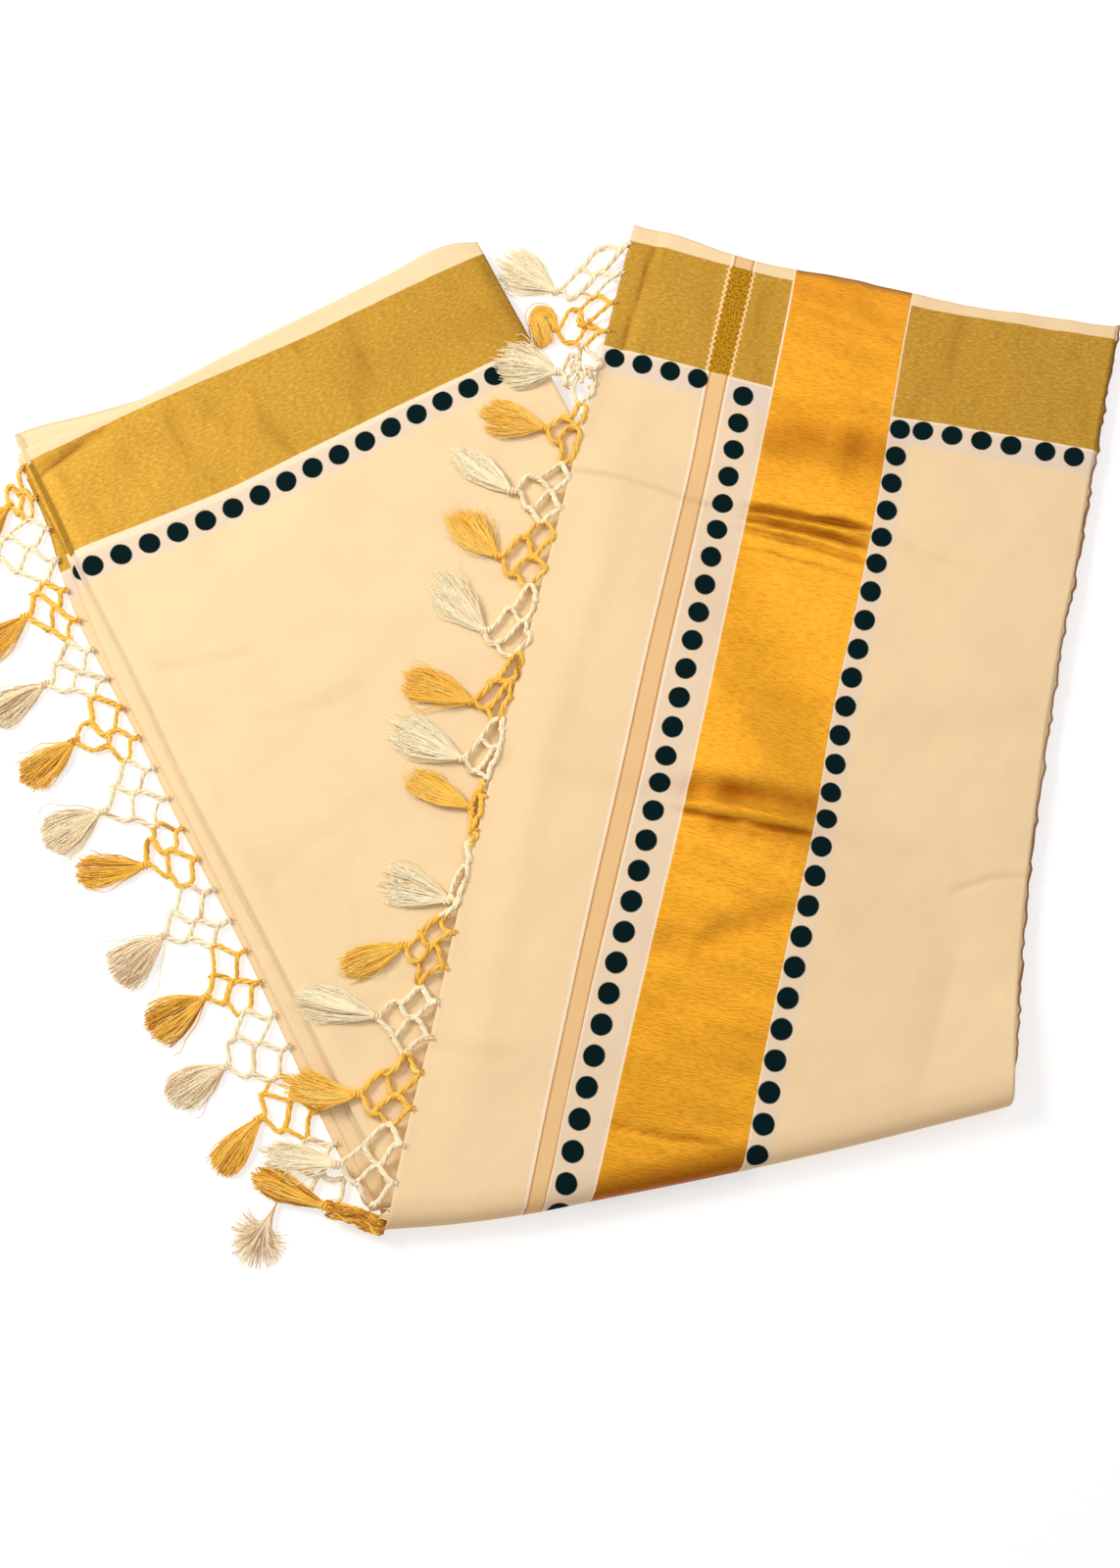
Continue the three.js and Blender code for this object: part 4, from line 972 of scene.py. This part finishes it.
class Nodes:
    """Short names for the nodes of one material."""

    def __init__(self, name):
        self.material = bpy.data.materials.new(name)
        self.material.use_nodes = True
        self.tree = self.material.node_tree
        self.shader = self.tree.nodes["Principled BSDF"]

    def put(self, node, inputs):
        """Sets each input to a number or colour, or links it to another node's output."""
        for name, value in inputs.items():
            if isinstance(value, bpy.types.NodeSocket):
                self.tree.links.new(value, node.inputs[name])
            else:
                node.inputs[name].default_value = value

    def new(self, kind, inputs, **settings):
        node = self.tree.nodes.new("ShaderNode" + kind)
        for key, value in settings.items():
            setattr(node, key, value)
        self.put(node, inputs)
        return node

    def math(self, operation, *values):
        return self.new("Math", dict(enumerate(values)), operation=operation).outputs[0]

    add = partialmethod(math, "ADD")
    subtract = partialmethod(math, "SUBTRACT")
    multiply = partialmethod(math, "MULTIPLY")
    highest = partialmethod(math, "MAXIMUM")

    def step(self, value, low, high):
        """Rises smoothly from 0 at low to 1 at high."""
        inputs = {"Value": value, "From Min": low, "From Max": high}
        return self.new("MapRange", inputs, interpolation_type="SMOOTHSTEP").outputs[0]

    def strip(self, inner, outer, low, high, soft):
        """1 between two soft edges, each of them at its place on its own value."""
        inside = self.step(inner, low - soft, low + soft)
        return self.subtract(inside, self.step(outer, high - soft, high + soft))

    def between(self, value, low, high, soft):
        return self.strip(value, value, low, high, soft)

    def mix(self, first, second, share, **settings):
        return self.new("Mix", {"Factor": share, "A": first, "B": second}, **settings).outputs["Result"]

    def color(self, first, second, share, blend_type="MIX"):
        return self.mix(first, second, share, data_type="RGBA", blend_type=blend_type)

    def paint(self, base, second, mask, strength):
        """Lays a second colour over a base, by a mask and a strength."""
        return self.color(base, second, self.multiply(mask, strength))

    def uv(self, label):
        return self.new("SeparateXYZ", {0: self.new("UVMap", {}, uv_map=label).outputs[0]}).outputs[:2]

    def joined(self, x, y):
        return self.new("CombineXYZ", {0: x, 1: y}).outputs[0]

    def noise(self, vector, scale, detail, stretch=(1, 1)):
        scales = (scale * stretch[0], scale * stretch[1], scale)
        vector = self.new("Mapping", {"Vector": vector, "Scale": scales}).outputs[0]
        return self.new("TexNoise", {"Vector": vector, "Scale": 1, "Detail": detail}).outputs["Fac"]

    def value_of(self, label):
        return self.new("Attribute", {}, attribute_name=label).outputs["Fac"]

    def dots(self, x, y, first, count, grow):
        """Round dots in a row along x, at y = 0."""
        place = self.math("DIVIDE", self.subtract(x, first), PITCH)
        nearest = self.math("MINIMUM", self.highest(self.math("ROUND", place), 0), count - 1)
        ahead = self.multiply(self.subtract(place, nearest), PITCH)
        squares = self.add(self.multiply(ahead, ahead), self.multiply(y, y))
        distance = self.add(self.math("SQRT", squares), grow)
        return self.subtract(1, self.step(distance, DOT_RADIUS - 0.45, DOT_RADIUS + 0.45))


def srgb(red, green, blue):
    """A colour given by its 0 to 255 screen values, as the linear colour that a shader takes."""
    linear = [(c / 255 / 12.92) if c <= 10 else ((c / 255 + 0.055) / 1.055) ** 2.4
              for c in (red, green, blue)]
    return (*linear, 1)


CREAM = srgb(249, 223, 177)
PALLU_CREAM = srgb(249, 220, 174)
PALE_ROW = srgb(227, 211, 202)
WHITE_LINE = srgb(252, 232, 204)
DOT_COLOR = srgb(0, 26, 28)
BORDER = srgb(201, 155, 56)
BORDER_BRIGHT = srgb(240, 200, 104)
BORDER_DEEP = srgb(158, 108, 26)
ZIGZAG = srgb(250, 216, 160)
CROSSING_GOLD = srgb(204, 150, 28)
CROSSING_DEEP = srgb(124, 84, 6)
LINE_BAND = srgb(240, 198, 142)
LINE_EDGE = srgb(206, 152, 92)
GOLD_BAND = srgb(250, 180, 48)
GOLD_DEEP = srgb(206, 128, 22)
GOLD_END = srgb(226, 148, 44)
GOLD_HEM = srgb(204, 140, 66)
# Tints that multiply the colour where the shade value is set: painted shade for cream and for gold
CREAM_SHADE = (0.86, 0.81, 0.78, 1)
GOLD_SHADE = (0.42, 0.25, 0.08, 1)
# Painted shadow on the stack's layer edges that stick out at the right leg's right edge
EDGE_SHADOW = srgb(178, 122, 80)
# The threads' dark, usual and pale colours
GOLD_THREADS = (srgb(186, 116, 26), srgb(254, 200, 76), srgb(255, 224, 128))
CREAM_THREADS = (srgb(214, 170, 134), srgb(255, 239, 201), srgb(255, 248, 220))


def weave(nodes, vector, base):
    """Warp and weft: slight lighter and darker threads both ways, and soft cloudy patches."""
    warp = nodes.noise(vector, 1.0, 1, (1.7, 0.05))
    weft = nodes.noise(vector, 1.0, 1, (0.05, 1.7))
    threads = nodes.add(warp, weft)
    darker = (base[0] * 0.8, base[1] * 0.77, base[2] * 0.72, 1)
    color = nodes.paint(base, darker, nodes.step(threads, 1.35, 0.65), 0.2)
    return nodes.paint(color, darker, nodes.step(nodes.noise(vector, 0.017, 3), 0.42, 0.7), 0.14), threads


def wobbles(nodes, vector):
    """An uneven shift for the pattern's soft edges, and a slighter one for its sharp edges."""
    wobble = nodes.multiply(nodes.subtract(nodes.noise(vector, 0.25, 1), 0.5), 1.1)
    return wobble, nodes.multiply(wobble, 0.4)


def finish_cloth(nodes, color, threads, metal, height, shine=0.5):
    # The shade value darkens the colour by these tints: painted shade in creases, round the bend and in
    # grooves
    tint = nodes.color(CREAM_SHADE, GOLD_SHADE, nodes.step(metal, 0.1, 0.4))
    bump = nodes.new("Bump", {"Height": nodes.add(threads, height), "Distance": 0.00012, "Strength": 0.6})
    nodes.put(nodes.shader, {"Base Color": nodes.color(color, tint, nodes.value_of("shade"), "MULTIPLY"),
                             "Metallic": nodes.multiply(metal, 0.65),
                             "Roughness": nodes.mix(0.9, shine, metal),
                             "Specular IOR Level": 0.1,
                             "Normal": bump.outputs[0]})
    return nodes.material


def border_color(nodes, vector):
    """Metallic thread woven into cotton: an olive gold with fine bright flecks."""
    flecks = nodes.noise(vector, 0.6, 3, (0.5, 1.1))
    drift = nodes.noise(vector, 0.035, 2, (1.6, 0.4))
    color = nodes.paint(BORDER, BORDER_BRIGHT, nodes.step(flecks, 0.5, 0.7), 0.34)
    color = nodes.paint(color, BORDER_DEEP, nodes.step(flecks, 0.5, 0.3), 0.35)
    return nodes.paint(color, BORDER_DEEP, nodes.step(drift, 0.5, 0.75), 0.4)


def body_material(name, first_dot, count, painted_shadow=False):
    nodes = Nodes(name)
    across, up = nodes.uv("border")
    vector = nodes.joined(across, up)
    color, threads = weave(nodes, vector, CREAM)
    wobble, slight = wobbles(nodes, vector)
    row = nodes.subtract(up, LEFT_DOT_ROW)
    color = nodes.paint(color, PALE_ROW, nodes.between(nodes.add(row, wobble), -8.5, 8.2, 2.2), 0.55)
    color = nodes.paint(color, WHITE_LINE, nodes.between(up, -4.2, 0, 0.9), 0.8)
    if count:
        color = nodes.color(color, DOT_COLOR, nodes.dots(across, row, first_dot, count, slight))
    gold = nodes.between(nodes.add(up, slight), 0, BORDER_TOP, 0.35)
    color = nodes.color(color, border_color(nodes, vector), gold)
    # Painted shadow on the layer edges that stick out
    if painted_shadow:
        color = nodes.color(color, EDGE_SHADOW, nodes.value_of("painted_shadow"))
    return finish_cloth(nodes, color, threads, nodes.multiply(gold, 0.75), 0)


def pallu_material(name):
    nodes = Nodes(name)
    place, down = nodes.uv("bands")
    across, up = nodes.uv("border")
    vector = nodes.joined(place, down)
    color, threads = weave(nodes, vector, PALLU_CREAM)
    wobble, slight = wobbles(nodes, vector)
    edge = nodes.add(place, slight)
    row = nodes.subtract(up, RIGHT_DOT_ROW)

    # Pale strips under the dots, with a soft inner edge
    column = nodes.highest(nodes.between(place, 85, 112.5, 0.8), nodes.between(place, GOLD_OUT, 207, 1.6))
    color = nodes.paint(color, PALE_ROW, nodes.multiply(column, nodes.step(up, 0, -3)), 0.38)
    color = nodes.paint(color, PALE_ROW, nodes.between(nodes.add(row, wobble), -11, 7.4, 2.6), 0.6)

    # The border, and what crosses it
    low = nodes.add(up, slight)
    border = nodes.between(low, 0, BORDER_TOP, 0.35)
    border_vector = nodes.joined(across, up)
    color = nodes.paint(color, WHITE_LINE, nodes.between(low, -1.6, 0, 0.5), 0.8)
    color = nodes.color(color, border_color(nodes, border_vector), border)
    ragged = nodes.multiply(nodes.multiply(nodes.math("PINGPONG", up, 2.1), 0.7), border)
    band_in = nodes.add(edge, ragged)
    band_out = nodes.subtract(edge, ragged)
    outer = nodes.strip(band_in, band_out, *WHITE_LINES, 0.3)
    color = nodes.color(color, nodes.color(WHITE_LINE, ZIGZAG, border), outer)
    line = nodes.strip(band_in, band_out, *STRIPE_EDGES, 0.3)
    stripe = nodes.color(LINE_EDGE, LINE_BAND, nodes.between(edge, *STRIPE_MIDDLE, 0.4))
    specks = nodes.noise(border_vector, 0.8, 2)
    olive = nodes.color(CROSSING_GOLD, CROSSING_DEEP, nodes.step(specks, 0.42, 0.68))
    color = nodes.color(color, nodes.color(stripe, olive, border), line)

    # The gold band runs over everything, with a white line at each edge
    color = nodes.color(color, WHITE_LINE, nodes.between(edge, *GOLD_LINES, 0.35))
    band = nodes.between(edge, *GOLD_WEAVE, 0.35)
    streaks = nodes.noise(vector, 1.0, 3, (0.17, 1.0))
    broad = nodes.noise(vector, 0.02, 3, (0.5, 2.2))
    gold = nodes.paint(GOLD_BAND, GOLD_END, nodes.step(up, -10, 84), 0.5)
    gold = nodes.paint(gold, GOLD_DEEP, nodes.step(streaks, 0.44, 0.62), 0.42)
    gold = nodes.paint(gold, GOLD_DEEP, nodes.step(broad, 0.5, 0.75), 0.22)
    gold = nodes.paint(gold, GOLD_HEM, nodes.step(up, 81.5, 83.5), 0.8)
    color = nodes.color(color, gold, band)

    # Dots: a column on each side of the gold band, and a row along the border
    falling = nodes.multiply(down, -1)
    lines = [(falling, nodes.subtract(place, BAND_PLACES[name]), -FIRST_DOT, COLUMN_DOTS)
             for name in ("dots_in", "dots_out")]
    lines += [(across, row, first, count) for first, count in ROW_DOTS]
    dots = reduce(nodes.highest, [nodes.dots(*line, slight) for line in lines])
    color = nodes.color(color, DOT_COLOR, dots)
    metal = nodes.highest(band, nodes.multiply(border, 0.6))
    metal = nodes.multiply(metal, nodes.subtract(1, dots))
    ribs = nodes.multiply(nodes.multiply(streaks, band), 3)
    return finish_cloth(nodes, color, threads, metal, ribs, 0.45)


def thread_material(name, dark, usual, pale, roughness):
    nodes = Nodes(name)
    tone = nodes.value_of("tone")
    color = nodes.color(dark, usual, nodes.step(tone, -0.1, 0.45))
    color = nodes.color(color, pale, nodes.step(tone, 0.5, 1.1))
    nodes.put(nodes.shader, {"Base Color": color, "Roughness": roughness, "Specular IOR Level": 0.4})
    return nodes.material


# Stage

FLOOR_SIZE = 6000
FLOOR_GLOW = 0.52


def add_camera():
    """The photograph's view, fitted to the evenly spaced dots and the outline."""
    right, down = (0.999279, 0.001394, 0.037934), (0.008012, -0.984557, -0.17488)
    forward = (0.037104, 0.175058, -0.983859)
    place = (-24.26, -210.98, 947.0)
    data = bpy.data.cameras.new("camera")
    data.sensor_width = 36
    data.lens = 36
    camera = add_object("camera", data)
    columns = [right, [-c for c in down], [-c for c in forward], [c * MM for c in place]]
    camera.matrix_world = Matrix([*zip(*columns), (0, 0, 0, 1)])
    bpy.context.scene.camera = camera


def add_light(name, place, size, energy, color):
    """A soft square light that shines on the middle of the saree."""
    data = bpy.data.lights.new(name, "AREA")
    data.size = size
    data.energy = energy
    data.color = color
    light = add_object(name, data)
    light.location = place
    light.rotation_euler = (-Vector(place)).to_track_quat("-Z", "Y").to_euler()


def add_stage():
    nodes = Nodes("pale_floor")
    nodes.put(nodes.shader, {"Base Color": (0.6, 0.6, 0.6, 1), "Roughness": 0.9,
                             "Emission Color": (1, 1, 1, 1), "Emission Strength": FLOOR_GLOW})
    corners = [(x * FLOOR_SIZE, y * FLOOR_SIZE, -0.4) for x, y in ((-1, -1), (1, -1), (1, 1), (-1, 1))]
    floor = new_mesh("floor", corners, [np.array([[0, 1, 2, 3]])], nodes.material, smooth=False)
    world = bpy.data.worlds.new("studio")
    world.use_nodes = True
    background = world.node_tree.nodes["Background"].inputs
    background["Color"].default_value = (1, 0.985, 0.96, 1)
    background["Strength"].default_value = 0.5
    bpy.context.scene.world = world
    add_light("key", (-1.15, 0.62, 1.15), 0.5, 17, (1, 0.96, 0.9))
    add_light("overhead", (0.3, 0.5, 1.5), 0.8, 5, (1, 0.9, 0.93))
    bpy.context.scene.view_settings.view_transform = "Standard"


# The saree

def place(piece, slot, *nodes):
    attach(piece, "root")
    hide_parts(*nodes)
    return piece


add_camera()
add_stage()

pallu = pallu_material("pallu_weave")
body = body_material("body_weave", LEFT_FIRST_DOT, LEFT_ROW_DOTS)
second = body_material("second_weave", SECOND_FIRST_DOT, LEFT_ROW_DOTS)
layers = body_material("layer_weave", 0, 0, painted_shadow=True)
gold_thread = thread_material("gold_threads", *GOLD_THREADS, 0.6)
cream_thread = thread_material("cream_threads", *CREAM_THREADS, 0.8)

for unit in range(UNITS):
    slot, threads = (("gold_thread", gold_thread), ("cream_thread", cream_thread))[unit % 2]
    place(fringe_unit(unit, threads), slot, f"fringe_tassel_{unit + 1:02d}")

right_cloth = place(right_leg_cloth(pallu), "pallu_cloth", "pallu_over_right_leg")
left_cloth = place(left_leg_cloth(body), "body_cloth", "body_panel_left_leg")
second_cloth = place(under_cloth("second_cloth_left_leg", SECOND_EDGE, 1.5, 528, -3, second),
                     "body_cloth", "second_layer_left_leg")
under = place(under_cloth("pallu_cloth_under_left_leg", UNDER_EDGE, 0, 525.5, 6, pallu),
              "pallu_cloth", "pallu_under_left_leg")
place(left_stack(layers), "folded_layers", "hidden_layers_left_leg")
place(right_stack(layers), "folded_layers", "hidden_layers_right_leg")
